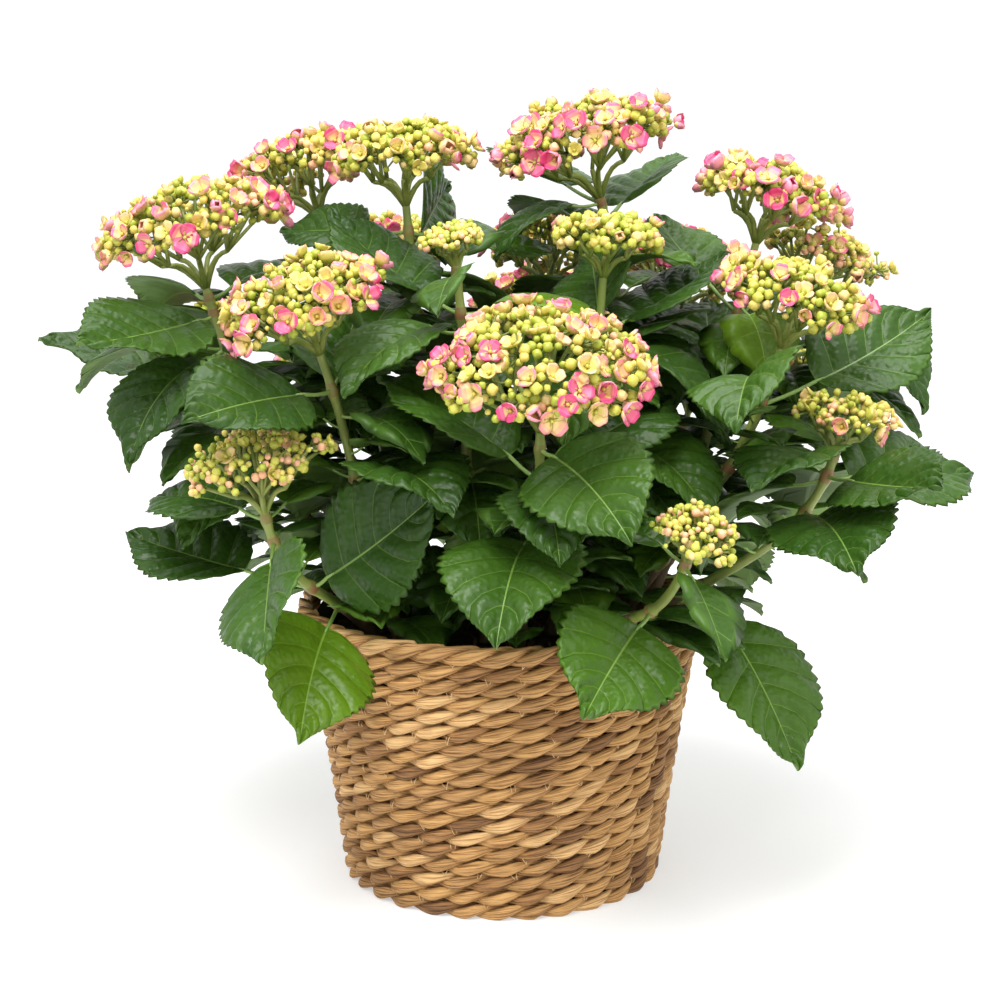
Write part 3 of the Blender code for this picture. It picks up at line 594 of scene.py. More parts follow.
leafLook = {
    "teeth": 21,            # on each side
    "toothDepth": 0.085,    # over the half width
    "veinEvery": 9,         # rows of the blade, three to a tooth, from one side vein to the next
    "veinWidth": 0.28,      # of a vein's row, over a plain row
    "sweep": 0.34,          # how far forward the side veins reach the edge
    "quilt": 0.0028,        # how high the blade swells between the side veins
    "midrib": 0.0008,       # half width at the blade's foot
    "groove": 0.0009,
    "thick": 0.0006,
    "wave": 0.0022,         # rise and fall of the edge
    "waves": 2.2,
    "fuller": 1.06,         # the half width, over the solids'
    "drawnIn": (0.66, 0.34, 0.42),      # where the tip starts, its length, how far it narrows
    "small": 0.068,         # a shorter leaf has plain sides and fewer teeth
    "smallTeeth": 9,
    "tintShares": (0.42, 0.37, 0.20, 0.01),
}
leafTints = {               # blade and its second colour
    "deep": ((0.018, 0.052, 0.005), (0.026, 0.066, 0.007)),
    "dark": ((0.026, 0.070, 0.006), (0.036, 0.088, 0.008)),
    "mid": ((0.038, 0.094, 0.006), (0.050, 0.116, 0.009)),
    "fresh": ((0.070, 0.145, 0.005), (0.090, 0.175, 0.008)),
}
freshLeaves = {"left_low": 5, "front_left": 4, "centre_bud": 3, "top_right": 3}     # bright green


def outline(t):
    # the solids' half width, a little fuller and drawn in towards the tip to a longer point
    start, over, share = leafLook["drawnIn"]
    narrowing = 1 - share * np.clip((t - start) / over, 0, 1) ** 1.5
    return leafLook["fuller"] * halfWidth(t) * leafForm["halfWidth"] * narrowing


def leafSheet(leaf, teeth, sides):
    # Rows follow the side veins: t = r + sweep sin(pi r) (1 - 0.35 r) s^1.1, where r is the vein's
    # foot on the midrib and s its share of the way out. Across, the edge is toothed, and between
    # two vein rows the blade swells as a sine. The edge waves, half a leaf at a time. The ring of
    # points goes over the top from edge to edge and back underneath.
    look = leafLook
    rows = teeth * 3 + 1
    i = np.arange(rows)
    veinRows = i[:-1] % look["veinEvery"] == 0
    steps = np.where(veinRows, look["veinWidth"], 1.0)
    r = np.concatenate([[0.0], np.cumsum(steps)])
    r = (0.006 + 0.990 * r / r[-1])[:, None]
    s = np.concatenate([sides[::-1], sides])[None, :]
    sign = np.concatenate([-np.ones(len(sides)), np.ones(len(sides))])[None, :]
    forward = look["sweep"] * np.sin(math.pi * r) * (1 - 0.35 * r)
    t = r + forward * s ** 1.1
    half = outline(t) * leaf.length
    scale = leaf.length / 0.1
    atEdge = np.where(s > 0.99, 1.0, np.where(s > 0.9, 0.3, 0.0))
    tooth = np.array([-0.5, 0.15, 0.5])[i % 3][:, None] * look["toothDepth"] * atEdge
    rib = np.minimum(look["midrib"] * scale * (1 - 0.75 * r), 0.4 * half)
    across = sign * (rib + (half * (1 + tooth) - rib) * s)
    swell = np.sin(math.pi * ((i - 1) % look["veinEvery"]) / (look["veinEvery"] - 1.0))[:, None] ** 0.8
    phase = rng.uniform(0, math.tau, 2)
    wave = np.sin(math.tau * look["waves"] * r + np.where(sign > 0, phase[0], phase[1]))
    lift = (look["quilt"] * scale * swell * np.clip(4 * s, 0, 1) * (1 - s ** 5)
            - look["groove"] * scale * (1 - np.clip(6 * s, 0, 1))
            + look["wave"] * scale * s ** 2 * wave)
    top = leaf.place(t, across, lift)
    belowS = np.array([[0.5, 0.04, -0.04, -0.5]])
    belowT = r + forward * np.abs(belowS) ** 1.1
    belowHalf = outline(belowT) * leaf.length
    drop = -look["thick"] - look["groove"] * scale * (1 - np.abs(belowS))
    under = leaf.place(belowT, belowHalf * belowS, drop)
    rings = np.concatenate([top, under], axis=1)
    ring = rings.shape[1]
    ends = leaf.place([0.0, 1.0], [0.0, 0.0])
    points = np.vstack([rings.reshape(-1, 3), ends])
    # slots of a face: 0 blade, 1 edge, 2 side vein, 3 underside, 4 midrib
    face = np.zeros((rows - 1, ring), int)
    n = len(sides)
    face[veinRows, 1:2 * n - 2] = 2
    face[:, [0, 2 * n - 2]] = 1
    face[:, n - 1] = 4
    face[:, 2 * n - 1:] = 3
    face[veinRows, 2 * n - 1:] = 2
    face[:, 2 * n + 1] = 4
    return points, ringQuads(rows, ring), face.ravel(), capTris(rows, ring)


fineSides = np.array([0.0, 0.12, 0.38, 0.66, 0.92, 1.0])
plainSides = np.array([0.0, 0.5, 1.0])
leafMaterials = []
paler = (                   # edge, side vein, underside and midrib: times the blade's colour, plus
    ((1.3, 1.25, 1.1), (0.012, 0.020, 0.002)), ((1.4, 1.3, 1.2), (0.052, 0.078, 0.013)),
    ((1.6, 1.5, 1.4), (0.060, 0.085, 0.022)), ((1.2, 1.1, 1.0), (0.110, 0.165, 0.032)),
)
for tint, (colour, other) in leafTints.items():
    edge, vein, under, rib = [tuple(c * k + a for c, k, a in zip(colour, times, plus))
                              for times, plus in paler]
    leafMaterials += [
        finish("leaf_" + tint, colour, other, 26, 0.34, 0.0016, 260, cells=True, gloss=0.24),
        finish("leafEdge_" + tint, edge, other, 60, 0.42, gloss=0.24),
        finish("leafVein_" + tint, vein, tuple(c * 0.9 for c in vein), 60, 0.42, gloss=0.24),
        finish("leafUnder_" + tint, under, tuple(c * 0.85 for c in under), 40, 0.6, 0.0003, 400),
        finish("leafRib_" + tint, rib, tuple(c * 0.9 for c in rib), 60, 0.42),
    ]
leafGroups = {"front": shoots[:7], "middle": shoots[7:13], "rear": shoots[13:]}
for part, group in leafGroups.items():
    batch = Batch()
    for shoot in group:
        for number, leaf in enumerate(shoot.leaves):
            if leaf.length < leafLook["small"]:
                points, quads, faceSlots, tris = leafSheet(leaf, leafLook["smallTeeth"], plainSides)
            else:
                points, quads, faceSlots, tris = leafSheet(leaf, leafLook["teeth"], fineSides)
            tint = rng.choice(4, p=leafLook["tintShares"])
            if number == freshLeaves.get(shoot.name):
                tint = 3
            batch.add(points, quads, faceSlots + 5 * tint, tris, 5 * tint)
    leafPiece = batch.build("leaves_" + part, leafMaterials)
    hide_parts(*["shoot_" + shoot.name for shoot in group])
print("leaves done")


stemLook = {                # radii of a cane, a green stem and a petiole, and what swells on them
    "caneFoot": 0.0052, "cane": 0.0043, "footFlare": 1.08, "flareReach": 0.012,
    "knob": 0.10, "knobAt": 0.55, "knobReach": 0.003, "ridge": 0.05, "rough": 0.04,
    "foot": 0.0036, "top": 0.0027, "nodeSwell": 0.45, "nodeReach": 0.0045, "redFrom": 0.55,
    "petiole": 0.0013, "petioleFoot": 0.0022, "petioleTip": 0.0008, "sag": 0.0012, "fullLeaf": 0.085,
}
barkMaterial = finish("bark", (0.075, 0.048, 0.024), (0.17, 0.11, 0.055), 90, 0.8, 0.0008, 500,
                      (1, 1, 0.18))
stemGreen = finish("stemGreen", (0.16, 0.22, 0.035), (0.23, 0.27, 0.06), 70, 0.45, 0.0002, 500,
                   (1, 1, 0.25))
nodeRed = finish("nodeRed", (0.22, 0.10, 0.035), (0.20, 0.20, 0.045), 120, 0.5)
petioleGreen = finish("petioleGreen", (0.17, 0.30, 0.06), (0.24, 0.36, 0.09), 60, 0.42)

canes, stems = Batch(), Batch()
look = stemLook
for shoot in shoots:
    away = direction(shoot.azimuth + 90, 0)
    s = np.concatenate([[0.0], np.linspace(0.003, shoot.cut, 40)])
    knobs = look["knob"] * np.exp(-((s - shoot.cut * look["knobAt"]) / look["knobReach"]) ** 2)
    radius = np.interp(s, [0, look["flareReach"], shoot.cut],
                       [look["caneFoot"] * look["footFlare"], look["caneFoot"], look["cane"]])
    radius = radius * (1 + knobs)
    ridges = 1 + look["ridge"] * np.sin(np.arange(10) * math.tau / 10 * 3 + s[:, None] * 160)
    ridges = ridges + rng.uniform(-look["rough"], look["rough"], (len(s), 10))
    tubes(canes, shoot.at(s)[None], radius, 10, 0, away, ridges[None])
    s = np.linspace(shoot.cut - 0.004, shoot.length, 60)
    radius = np.interp(s, [shoot.cut, shoot.length], [look["foot"], look["top"]])
    near = np.zeros(len(s))
    for pair in shoot.pairs:
        near = np.maximum(near, np.exp(-((s - (shoot.length - pair[0])) / look["nodeReach"]) ** 2))
    radius = radius * (1 + look["nodeSwell"] * near)
    slots = np.repeat((near[:-1] > look["redFrom"]).astype(int), 8)
    tubes(stems, shoot.at(s)[None], radius, 8, slots, away)
    for leaf in shoot.leaves:
        share = np.linspace(0, 1, 6)[:, None]
        base, ahead = leaf.place([0.0, 0.06], [0.0, 0.0], -0.0006)
        sag = np.array([0, 0, -look["sag"]]) * np.sin(math.pi * share)
        path = np.vstack([leaf.node * (1 - share) + base * share + sag, ahead])
        radius = np.interp(np.arange(7), [0, 1, 5, 6], [
            look["petioleFoot"], look["petiole"] * 1.1, look["petiole"], look["petioleTip"]])
        tubes(stems, path[None], radius * min(1.0, leaf.length / look["fullLeaf"]), 6, 2)
canePiece = canes.build("canes", [barkMaterial])
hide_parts(*["cane_" + shoot.name for shoot in shoots])
stemPiece = stems.build("stems", [stemGreen, nodeRed, petioleGreen])
print("canes and stems done")


blossom = {
    "clusters": 22,         # lumps on a head of the usual width
    "inEach": 10,           # places for florets and buds on one lump
    "lump": 0.0092,         # radius of a lump
    "floret": 0.0112,       # length of an open floret's sepal
    "apart": 0.0112,        # least distance between two open florets
    "cleared": 0.0054,      # no bud stands nearer than this to an open floret
    "knob": 0.0030,         # radius of a four-lobed bud
    "youngKnob": 0.0023,    # and of one on a head that is still loose
    "bead": 0.0020,         # radius of the small buds between
    "beads": 0.4,           # how many of them to a place on the lumps
    "eye": (0.0022, 0.0013),        # a floret's: how far up it stands, and its radius
    "rayFoot": 0.0022, "rayTop": 0.0016, "branchFoot": 0.0015, "branchTop": 0.0011,
    "stalkFoot": 0.0009, "stalkTop": 0.0006,
    "forks": 7, "forkRing": 0.20, "forkDrop": 0.12,     # branchings, over the head's width
}
looseHead = {"below": 0.2, "clusters": 1.5, "lump": 0.58, "inEach": 7, "beads": 0.25}  # not yet ripe
headLook = {                # share of open florets, how pink they are
    "left": (1.05, 0.72), "left_rear": (0.95, 0.88), "top_left": (0.70, 0.62), "centre_bud": (0.0, 0.0),
    "front_left": (1.25, 0.80), "front": (1.60, 0.78), "top": (1.00, 0.92), "centre": (0.22, 0.55),
    "top_right": (1.10, 0.95), "right_rear": (0.16, 0.30), "right": (0.62, 0.85),
    "right_low": (0.18, 0.30), "left_low": (0.12, 0.45), "front_low": (0.0, 0.0),
}
usualHead = (0.8, 0.75)
tints = [                   # from unripe to full pink, and the paler outside of a pink sepal
    ("lime", (0.34, 0.40, 0.036)), ("limeButter", (0.50, 0.51, 0.075)), ("butter", (0.63, 0.54, 0.12)),
    ("cream", (0.74, 0.57, 0.23)), ("apricot", (0.78, 0.43, 0.25)), ("salmon", (0.78, 0.27, 0.28)),
    ("rose", (0.74, 0.135, 0.27)), ("hotPink", (0.66, 0.052, 0.19)), ("palePink", (0.77, 0.28, 0.39)),
]
tintShade = (0.94, 0.86, 0.78)
tintMaterials = [finish("petal_" + name, colour, tuple(c * k for c, k in zip(colour, tintShade)),
                        260, 0.42, 0.00012, 900) for name, colour in tints]
rayGreen = finish("rayGreen", (0.15, 0.20, 0.030), (0.24, 0.27, 0.06), 90, 0.5)


def ballShape(leans, sides, ends, swell=1.0, deep=0.0):
    # a ball: rings of points at these angles from its top, and a point at each end. With grooves,
    # one runs in at every third point round, by its depth times sin(lean)
    lean = np.radians(leans)[:, None]
    turn = -(np.arange(sides) * math.tau / sides)[None, :]
    radius = swell - deep * (np.arange(sides) % 3 == 0) * np.sin(lean)
    rings = polar(radius * np.sin(lean), turn, radius * np.cos(lean)).reshape(-1, 3)
    points = np.vstack([rings, [[0, 0, ends[0]]], [[0, 0, ends[1]]]])
    return points, ringQuads(len(leans), sides), capTris(len(leans), sides)


def sepalShape(cup, flare):
    # One sepal, a round bowl: its middle line turns up by the cup angle over three quarters of its
    # length and flares back at the lip, its half width is that of an ellipse, its sides rise as a
    # parabola, and the back lies a skin lower inside the same edge.
    b = np.array([0.0, 0.22, 0.50, 0.78, 0.94, 1.0])
    slope = np.radians(cup * np.minimum(b, 0.75) / 0.75 - flare * np.maximum(0, b - 0.75) / 0.25)
    step = np.diff(b)
    x = np.concatenate([[0], np.cumsum(np.cos((slope[1:] + slope[:-1]) / 2) * step)])
    z = np.concatenate([[0], np.cumsum(np.sin((slope[1:] + slope[:-1]) / 2) * step)])
    b, x, z, slope = b[:, None], x[:, None], z[:, None], slope[:, None]
    a = np.array([-1.0, -0.42, 0.42, 1.0])[None, :]
    half = 0.53 * np.sqrt(np.maximum(1.02 - ((b - 0.55) / 0.48) ** 2, 0.045))
    height = 0.36 * a ** 2 * half * (1 - 0.6 * b)
    front = np.stack([x - np.sin(slope) * height, a * half, z + np.cos(slope) * height], -1)
    inner = np.zeros((6, 4), bool)
    inner[1:5, 1:3] = True
    back = front + np.stack([np.sin(slope) + 0 * a, 0 * a * b, -np.cos(slope) + 0 * a], -1) * 0.14
    points = np.vstack([front.reshape(-1, 3), back[inner]])
    index = np.arange(24).reshape(6, 4)
    behind = index.copy()
    behind[inner] = 24 + np.arange(8)
    quads = [gridCells(grid).reshape(-1, 4) for grid in (index, behind)]
    quads[1] = quads[1][:, ::-1]
    aside = np.abs(a[:, :-1] + a[:, 1:]) / 2 * 1.1 * (0.35 + b[:-1])
    outward = np.maximum((b[:-1] + b[1:]) / 2 * 1.05, aside)
    return points, np.vstack(quads), outward.ravel()


def frames(axes):
    # for many axes: three directions each, the last along the axis, turned at random about it
    first = unit(np.cross(axes, np.array([0.21, 0.55, -0.81])))
    second = np.cross(axes, first)
    spin = rng.uniform(0, math.tau, len(axes))[:, None]
    across = first * np.cos(spin) + second * np.sin(spin)
    return np.stack([across, second * np.cos(spin) - first * np.sin(spin), axes], 1)


def scatter(batch, shape, places, turns, sizes, slots, endSlots=None):
    # copies of one shape at many places: each point turned by its copy's frame, scaled and moved
    points, quads, tris = shape
    moved = places[:, None] + np.einsum("pk,nkc->npc", points, turns) * np.reshape(sizes, (-1, 1, 1))
    offset = np.arange(len(places))[:, None, None] * len(points)
    slots = np.broadcast_to(slots, len(places))
    endSlots = slots if endSlots is None else np.broadcast_to(endSlots, len(places))
    batch.add(moved, (quads[None] + offset).reshape(-1, 4), np.repeat(slots, len(quads)),
              (tris[None] + offset).reshape(-1, 3), np.repeat(endSlots, len(tris)))


def openOnes(places, chance):
    # the places where a floret opens: drawn by chance, each keeping its distance from those before
    chosen = []
    for index in np.flatnonzero(rng.uniform(0, 1, len(places)) < chance):
        if all(np.linalg.norm(places[index] - places[other]) > blossom["apart"] for other in chosen):
            chosen.append(index)
    return chosen


budTones = (0.42, 0.80, 1.02, 1.16)     # a bud past one of these takes the next tint
frontHeads = 11
knob, smoothBud = [ballShape((32, 84, 138), 12, (0.72, -0.95), 1.04, deep) for deep in (0.16, 0.05)]
bead = ballShape((38, 90, 142), 6, (1, -1))
sepals = [sepalShape(cup, flare) for cup, flare in ((55, 70), (80, 90), (100, 75), (128, 30))]
heads = {"Front": (Batch(), Batch(), Batch()), "Rear": (Batch(), Batch(), Batch())}
openCount = budCount = 0
for order, shoot in enumerate(shoots):
    florets, buds, rays = heads["Front" if order < frontHeads else "Rear"]
    share, pink = headLook.get(shoot.name, usualHead)
    width = shoot.headWidth
    middle = shoot.fork + shoot.axis * dome["stalk"] * width
    frameOf = headFrame(shoot.axis)
    green, loose = share == 0, share < looseHead["below"]
    clusters = blossom["clusters"] * (width / dome["usual"]) ** 1.8
    clusters = round(clusters * (looseHead["clusters"] if loose else 1)) + (7 if green else 3)
    lump = blossom["lump"] * (looseHead["lump"] if loose else 1.0)
    spread = np.array([0.5, 0.5, dome["height"]]) * width - lump
    sites = domeSites(clusters, 1.04) + rng.normal(0, 0.05, (clusters, 3))
    centres = sites * spread * rng.uniform(0.62 if loose else 0.92, 1.06, clusters)[:, None]
    headings = unit(unit(sites / spread) + rng.normal(0, 0.12, (clusters, 3)))
    inEach = (looseHead if loose else blossom)["inEach"]
    small = domeSites(inEach, 1.0) * np.array([1.0, 1.0, 0.8])
    turns = frames(headings)
    around = np.einsum("pk,nkc->npc", small, turns)
    local = centres[:, None] + around * lump + rng.normal(0, 0.0009, (clusters, inEach, 3))
    local = local.reshape(-1, 3)
    local[:, 2] = np.where(local[:, 2] < 0, local[:, 2] * 0.5, local[:, 2] * 0.80)
    outward = around.reshape(-1, 3) * 0.8 + np.repeat(headings, inEach, 0)
    outward = unit(outward + rng.normal(0, 0.20, (len(local), 3)))
    out = np.hypot(local[:, 0], local[:, 1]) / (0.5 * width)
    low = np.clip(0.5 - local[:, 2] / (0.4 * width), 0, 1)
    isOpen = np.zeros(len(local), bool)
    isOpen[openOnes(local, share * (0.16 + 0.65 * out ** 2 + 0.30 * low))] = True
    if isOpen.any():
        gaps = np.linalg.norm(local[:, None] - local[isOpen][None], axis=2).min(axis=1)
        kept = isOpen | (gaps > blossom["cleared"])
        local, outward, out, low, isOpen = [each[kept] for each in (local, outward, out, low, isOpen)]
    places, axes = middle + local @ frameOf.T, outward @ frameOf.T
    # open florets: three or four sepals each, riper towards the head's rim
    for place, axis, edge, under in zip(places[isOpen], axes[isOpen], out[isOpen], low[isOpen]):
        ripe = np.clip(pink * (0.32 + 0.60 * edge + 0.35 * under) + rng.normal(0, 0.24), 0.12, 1.15)
        size = blossom["floret"] * rng.uniform(0.66, 0.98) * (0.74 + 0.32 * min(1.0, ripe))
        points, quads, lip = sepals[rng.choice(4, p=(0.30, 0.36, 0.24, 0.10))]
        base = frames(axis[None])[0]
        parts = 4 if rng.uniform() < 0.7 else 3
        for k in range(parts):
            angle = k * math.tau / parts + rng.uniform(-0.2, 0.2)
            turned = np.stack([base[0] * math.cos(angle) + base[1] * math.sin(angle),
                               base[1] * math.cos(angle) - base[0] * math.sin(angle), base[2]])
            front = np.clip(np.round(1.6 + 5.8 * ripe * (0.02 + 1.02 * lip ** 1.4)), 2, 7)
            if ripe > 0.85 and k % 2:
                front = np.clip(front + 1, 6, 7)
            behind = np.where(front > 5, 8, np.clip(front - 1, 1, 5))
            sepal = (points * size * rng.uniform(0.85, 1.15)) @ turned
            florets.add(place + axis * 0.0008 + sepal, quads,
                        np.concatenate([front, behind]).astype(int))
        up, size = blossom["eye"]
        scatter(florets, bead, (place + axis * up)[None], base[None], size, 1 if ripe < 0.6 else 2, 1)
        openCount += 1
    # four-lobed buds, or plain ones on a head that is still loose
    closed = np.flatnonzero(~isOpen)
    sizes = (blossom["youngKnob"] if loose else blossom["knob"]) * rng.uniform(0.72, 1.28, len(closed))
    tone = rng.uniform(0, 1, len(closed)) + (0.30 if loose else 0)
    if not green:
        tone = tone + 0.5 * pink * rng.uniform(0, 1, len(closed)) * (0.4 + out[closed])
    slot = np.searchsorted(budTones, tone, side="right")
    scatter(buds, smoothBud if loose else knob, places[closed], frames(axes[closed]), sizes, slot)
    # beads between and below them
    extra = int(len(local) * (looseHead if loose else blossom)["beads"])
    inside = domeSites(extra, 1.15) + rng.normal(0, 0.06, (extra, 3))
    placesIn = middle + (inside * rng.uniform(0.80, 1.02, extra)[:, None] * spread) @ frameOf.T
    slot = rng.choice(3, extra, p=(0.6, 0.3, 0.1))
    turns = frames(unit(inside) @ frameOf.T)
    scatter(buds, bead, placesIn, turns, blossom["bead"] * rng.uniform(0.8, 1.4, extra), slot)
    budCount += len(closed) + extra
    # rays: from the fork to a ring of branchings, on to the lumps, and on to florets and buds
    number = np.arange(blossom["forks"])
    wide = np.where(number == 0, 0.0, blossom["forkRing"])
    branchings = polar(wide, number * math.tau / blossom["forks"] + 0.4, -blossom["forkDrop"])
    branchings = middle + (branchings * width) @ frameOf.T
    u = np.linspace(0, 1, 6)[None, :, None]
    start = shoot.fork - shoot.axis * 0.003
    way = start + (branchings[:, None] - start) * u + shoot.axis * (np.sin(math.pi * u) * 0.05 * width)
    tubes(rays, way, np.linspace(blossom["rayFoot"], blossom["rayTop"], 6)[None], 6)
    umbels = middle + (centres - headings * 0.9 * lump) @ frameOf.T
    near = branchings[np.argmin(np.linalg.norm(umbels[:, None] - branchings[None], axis=2), axis=1)]
    v = np.linspace(0, 1, 4)[None, :, None]
    thin = np.linspace(blossom["branchFoot"], blossom["branchTop"], 4)[None]
    tubes(rays, near[:, None] + (umbels - near)[:, None] * v, thin, 5)
    ends = np.vstack([places - axes * 0.001, placesIn])
    near = umbels[np.argmin(np.linalg.norm(ends[:, None] - umbels[None], axis=2), axis=1)]
    thin = np.array([[blossom["stalkFoot"], blossom["stalkTop"]]])
    tubes(rays, np.stack([near, ends], 1), thin, 3)
for side, (florets, buds, rays) in heads.items():
    for part, batch in (("florets", florets), ("buds", buds), ("rays", rays)):
        piece = batch.build(part + side, [rayGreen] if part == "rays" else tintMaterials)
print("flower heads:", openCount, "open florets,", budCount, "buds")


ropeLook = {
    "pitch": 0.0435,        # of one strand's twist, so that a new strand shows every half of it
    "stepsPerTwist": 14,
    "sides": 10,
    "inOut": 0.0037,        # how far a strand's middle goes out and in
    "flat": 0.0024,         # half thickness of a strand
    "tall": 0.0054,         # half height where it shows whole
    "full": 0.85,           # power that fills its section out from an ellipse
    "shear": 0.62,          # how far its upper side runs ahead of its lower, over the height
    "crease": 0.12,         # how far folds along a strand run in and out, over its half thickness
    "rimPitch": 0.042, "rimTall": 0.0062, "rimFlat": 0.0030, "rimInOut": 0.0036,
    "stray": 0.40,          # how far a row's twist strays from the other rows', in radians
}
strawTones = [              # streak and body colour of a strand, and how often it comes up
    ("strawGold", (0.21, 0.092, 0.026), (0.61, 0.348, 0.128), 0.38),
    ("strawPale", (0.34, 0.170, 0.060), (0.74, 0.470, 0.205), 0.15),
    ("strawTan", (0.15, 0.066, 0.021), (0.51, 0.284, 0.106), 0.29),
    ("strawBrown", (0.090, 0.037, 0.013), (0.40, 0.205, 0.074), 0.13),
    ("strawDark", (0.055, 0.023, 0.009), (0.29, 0.143, 0.053), 0.05),
]
straws = [finish(name, streak, body, 3.0, 0.62, 0.0010, 8, (1.5, 9.0, 1), "UV",
                 gloss=0.25, detail=7, ramp=(0.36, 0.58)) for name, streak, body, often in strawTones]
threadPale = finish("threadPale", (0.55, 0.36, 0.16), (0.72, 0.52, 0.27), 300, 0.7)
# near-black lining colour: painted shade, seen through the gaps between the rope strands
strawInside = finish("strawInside", (0.020, 0.009, 0.004), (0.045, 0.022, 0.009), 60, 0.9, 0.0010, 200)


def strand(batch, radius, height, twists, start, ply, tall, flat, inOut):
    # One strand of a twisted pair, laid round the basket. With psi, which turns once per twist, its
    # middle stands at radius + inOut cos(psi) and tall / 2 times c off the row's own height, where c is
    # 0.35 sin(psi) + 0.65 (1 - |cos(psi)|) on the side that sin(psi) is. Its section is a filled-out
    # ellipse of half height tall (1 - |c| / 2), so the pair always fills the row. The whole is sheared
    # along the row, so that each strand shows as a leaning lens, and psi runs a little unevenly.
    look = ropeLook
    rows = twists * look["stepsPerTwist"]
    theta = np.arange(rows) * math.tau / rows
    psi = theta * twists + start + ply
    psi = psi + 0.15 * np.sin(theta * 5 + start * 3) + 0.12 * np.sin(theta * 13 + start)
    cycle = np.floor((psi + math.pi) / math.tau).astype(int)
    cycle -= cycle.min()
    bulk = rng.uniform(0.92, 1.06, cycle.max() + 1)[cycle]
    turn = np.arange(look["sides"]) * math.tau / look["sides"]
    aside = 0.35 * np.sin(psi) + 0.65 * np.sign(np.sin(psi)) * (1 - np.abs(np.cos(psi)))
    high = (tall * (1 - 0.5 * np.abs(aside)) * bulk)[:, None]
    deep = (flat * (0.72 + 0.28 * np.cos(psi)))[:, None]
    middle = (height + tall * 0.5 * aside)[:, None]
    out, up = [np.sign(w) * np.abs(w) ** look["full"] for w in (np.cos(turn), np.sin(turn))]
    creases = rng.uniform(-look["crease"], look["crease"], (cycle.max() + 1, look["sides"]))[cycle]
    rough = 1 + creases + rng.uniform(-0.03, 0.03, (rows, look["sides"]))
    r = radius + inOut * np.cos(psi)[:, None] + deep * out[None] * rough
    z = middle + high * up[None] * (1 + 0.4 * (rough - 1))
    where = theta[:, None] + look["shear"] * (z - height) / radius
    points = polar(r, where, np.maximum(z, 0.0003))
    u = (np.arange(rows + 1) * math.tau / rows * radius / 0.10)[:, None] + rng.uniform(0, 40)
    w = (np.arange(look["sides"] + 1) / look["sides"])[None]
    u, w = np.broadcast_arrays(u, w)
    uv = gridCells(np.stack([u, w], -1))
    tone = rng.choice(len(straws), cycle.max() + 1, p=[often for *_, often in strawTones])[cycle]
    quads = ringQuads(rows, look["sides"], closed=True)
    batch.add(points, quads, np.repeat(tone, look["sides"]), uv=uv)


ropes = Batch()
rowHeight = (pot["height"] - 2 * pot["rimRope"]) / pot["rows"]
rowPlans = []
for row in range(pot["rows"]):
    height = rowHeight * (row + 0.5)
    radius = float(potRadius(height)) - ropeLook["inOut"] - ropeLook["flat"]
    radius += rng.uniform(-0.0003, 0.0003)
    twists = round(math.tau * radius / ropeLook["pitch"])
    # the rows' strands stand nearly above one another at the front
    start = twists * math.pi / 2 + rng.normal(0, ropeLook["stray"])
    rowPlans.append((height, radius, twists, start))
    for ply in (0, math.pi):
        strand(ropes, radius, height, twists, start, ply,
               ropeLook["tall"], ropeLook["flat"], ropeLook["inOut"])
rimHeight = pot["height"] - pot["rimRope"]
rimMiddle = pot["rimRadius"] - pot["rimRope"]
rimTwists = round(math.tau * rimMiddle / ropeLook["rimPitch"])
for ply in (0, math.pi):
    strand(ropes, rimMiddle, rimHeight, rimTwists, 0.0, ply,
           ropeLook["rimTall"], ropeLook["rimFlat"], ropeLook["rimInOut"])
# pale binding threads, in pairs, across the grooves between the rows
threads = {"half": 0.0030, "radius": 0.00026, "apart": 0.0016, "share": 0.45,
           "proud": 0.0044, "sunkEnds": 0.0010}
for height, radius, twists, start in rowPlans:
    turns = (np.arange(2 * twists) * math.pi + math.pi / 2 - start) / twists
    turns = turns[rng.uniform(0, 1, len(turns)) < threads["share"]]
    for side in (-1, 1):
        theta = (turns + side * rng.uniform(0.3, 1.0, len(turns)) * threads["apart"] / radius)[:, None]
        up = np.linspace(-1, 1, 5)[None]
        lean = theta + side * threads["apart"] / radius * up * rng.uniform(-0.2, 1.2, (len(turns), 1))
        r = radius + threads["proud"] - threads["sunkEnds"] * up ** 2
        r = r + rng.uniform(-0.0004, 0.0003, (len(turns), 1))
        z = height + rowHeight / 2 + threads["half"] * up * rng.uniform(0.5, 1.0, (len(turns), 1))
        tubes(ropes, polar(r, lean, z), threads["radius"], 4, len(straws), (0, 0.1, 1))
ropePiece = ropes.build("basketRopes", straws + [threadPale])
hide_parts("basket")


def turnedShell(name, profile, steps, materials):
    # the profile, as (radius, height) from the middle of the underside over the top edge and down
    # inside, carried round the axis
    profile = np.array(profile)
    points = polar(profile[:, :1], np.arange(steps) * math.tau / steps, profile[:, 1:])
    batch = Batch()
    batch.add(points, ringQuads(len(profile), steps)[:, ::-1])
    return batch.build(name, materials)


# the lining, coloured near black as painted shade for the gaps between the ropes: a rippled underside,
# then a thin wall inside the ropes, and its floor
lining = {"in": 0.0110, "inner": 0.0120, "hole": 0.004, "ripple": 0.0016, "rippleEvery": 0.010}
shell = []
for radius in np.linspace(lining["hole"], pot["baseRadius"] - lining["in"], 60):
    ripple = lining["ripple"] * abs(math.sin(radius * math.pi / lining["rippleEvery"]))
    shell.append((radius, lining["ripple"] - ripple))
shell += [(float(potRadius(h)) - lining["in"], h) for h in np.linspace(0.004, rimHeight - 0.004, 24)]
shell += [(float(potRadius(h)) - lining["inner"], h)
          for h in np.linspace(rimHeight - 0.002, pot["floor"], 24)]
shell += [(lining["hole"], pot["floor"])]
liningPiece = turnedShell("basketLining", shell, 96, [strawInside])
print("basket done")


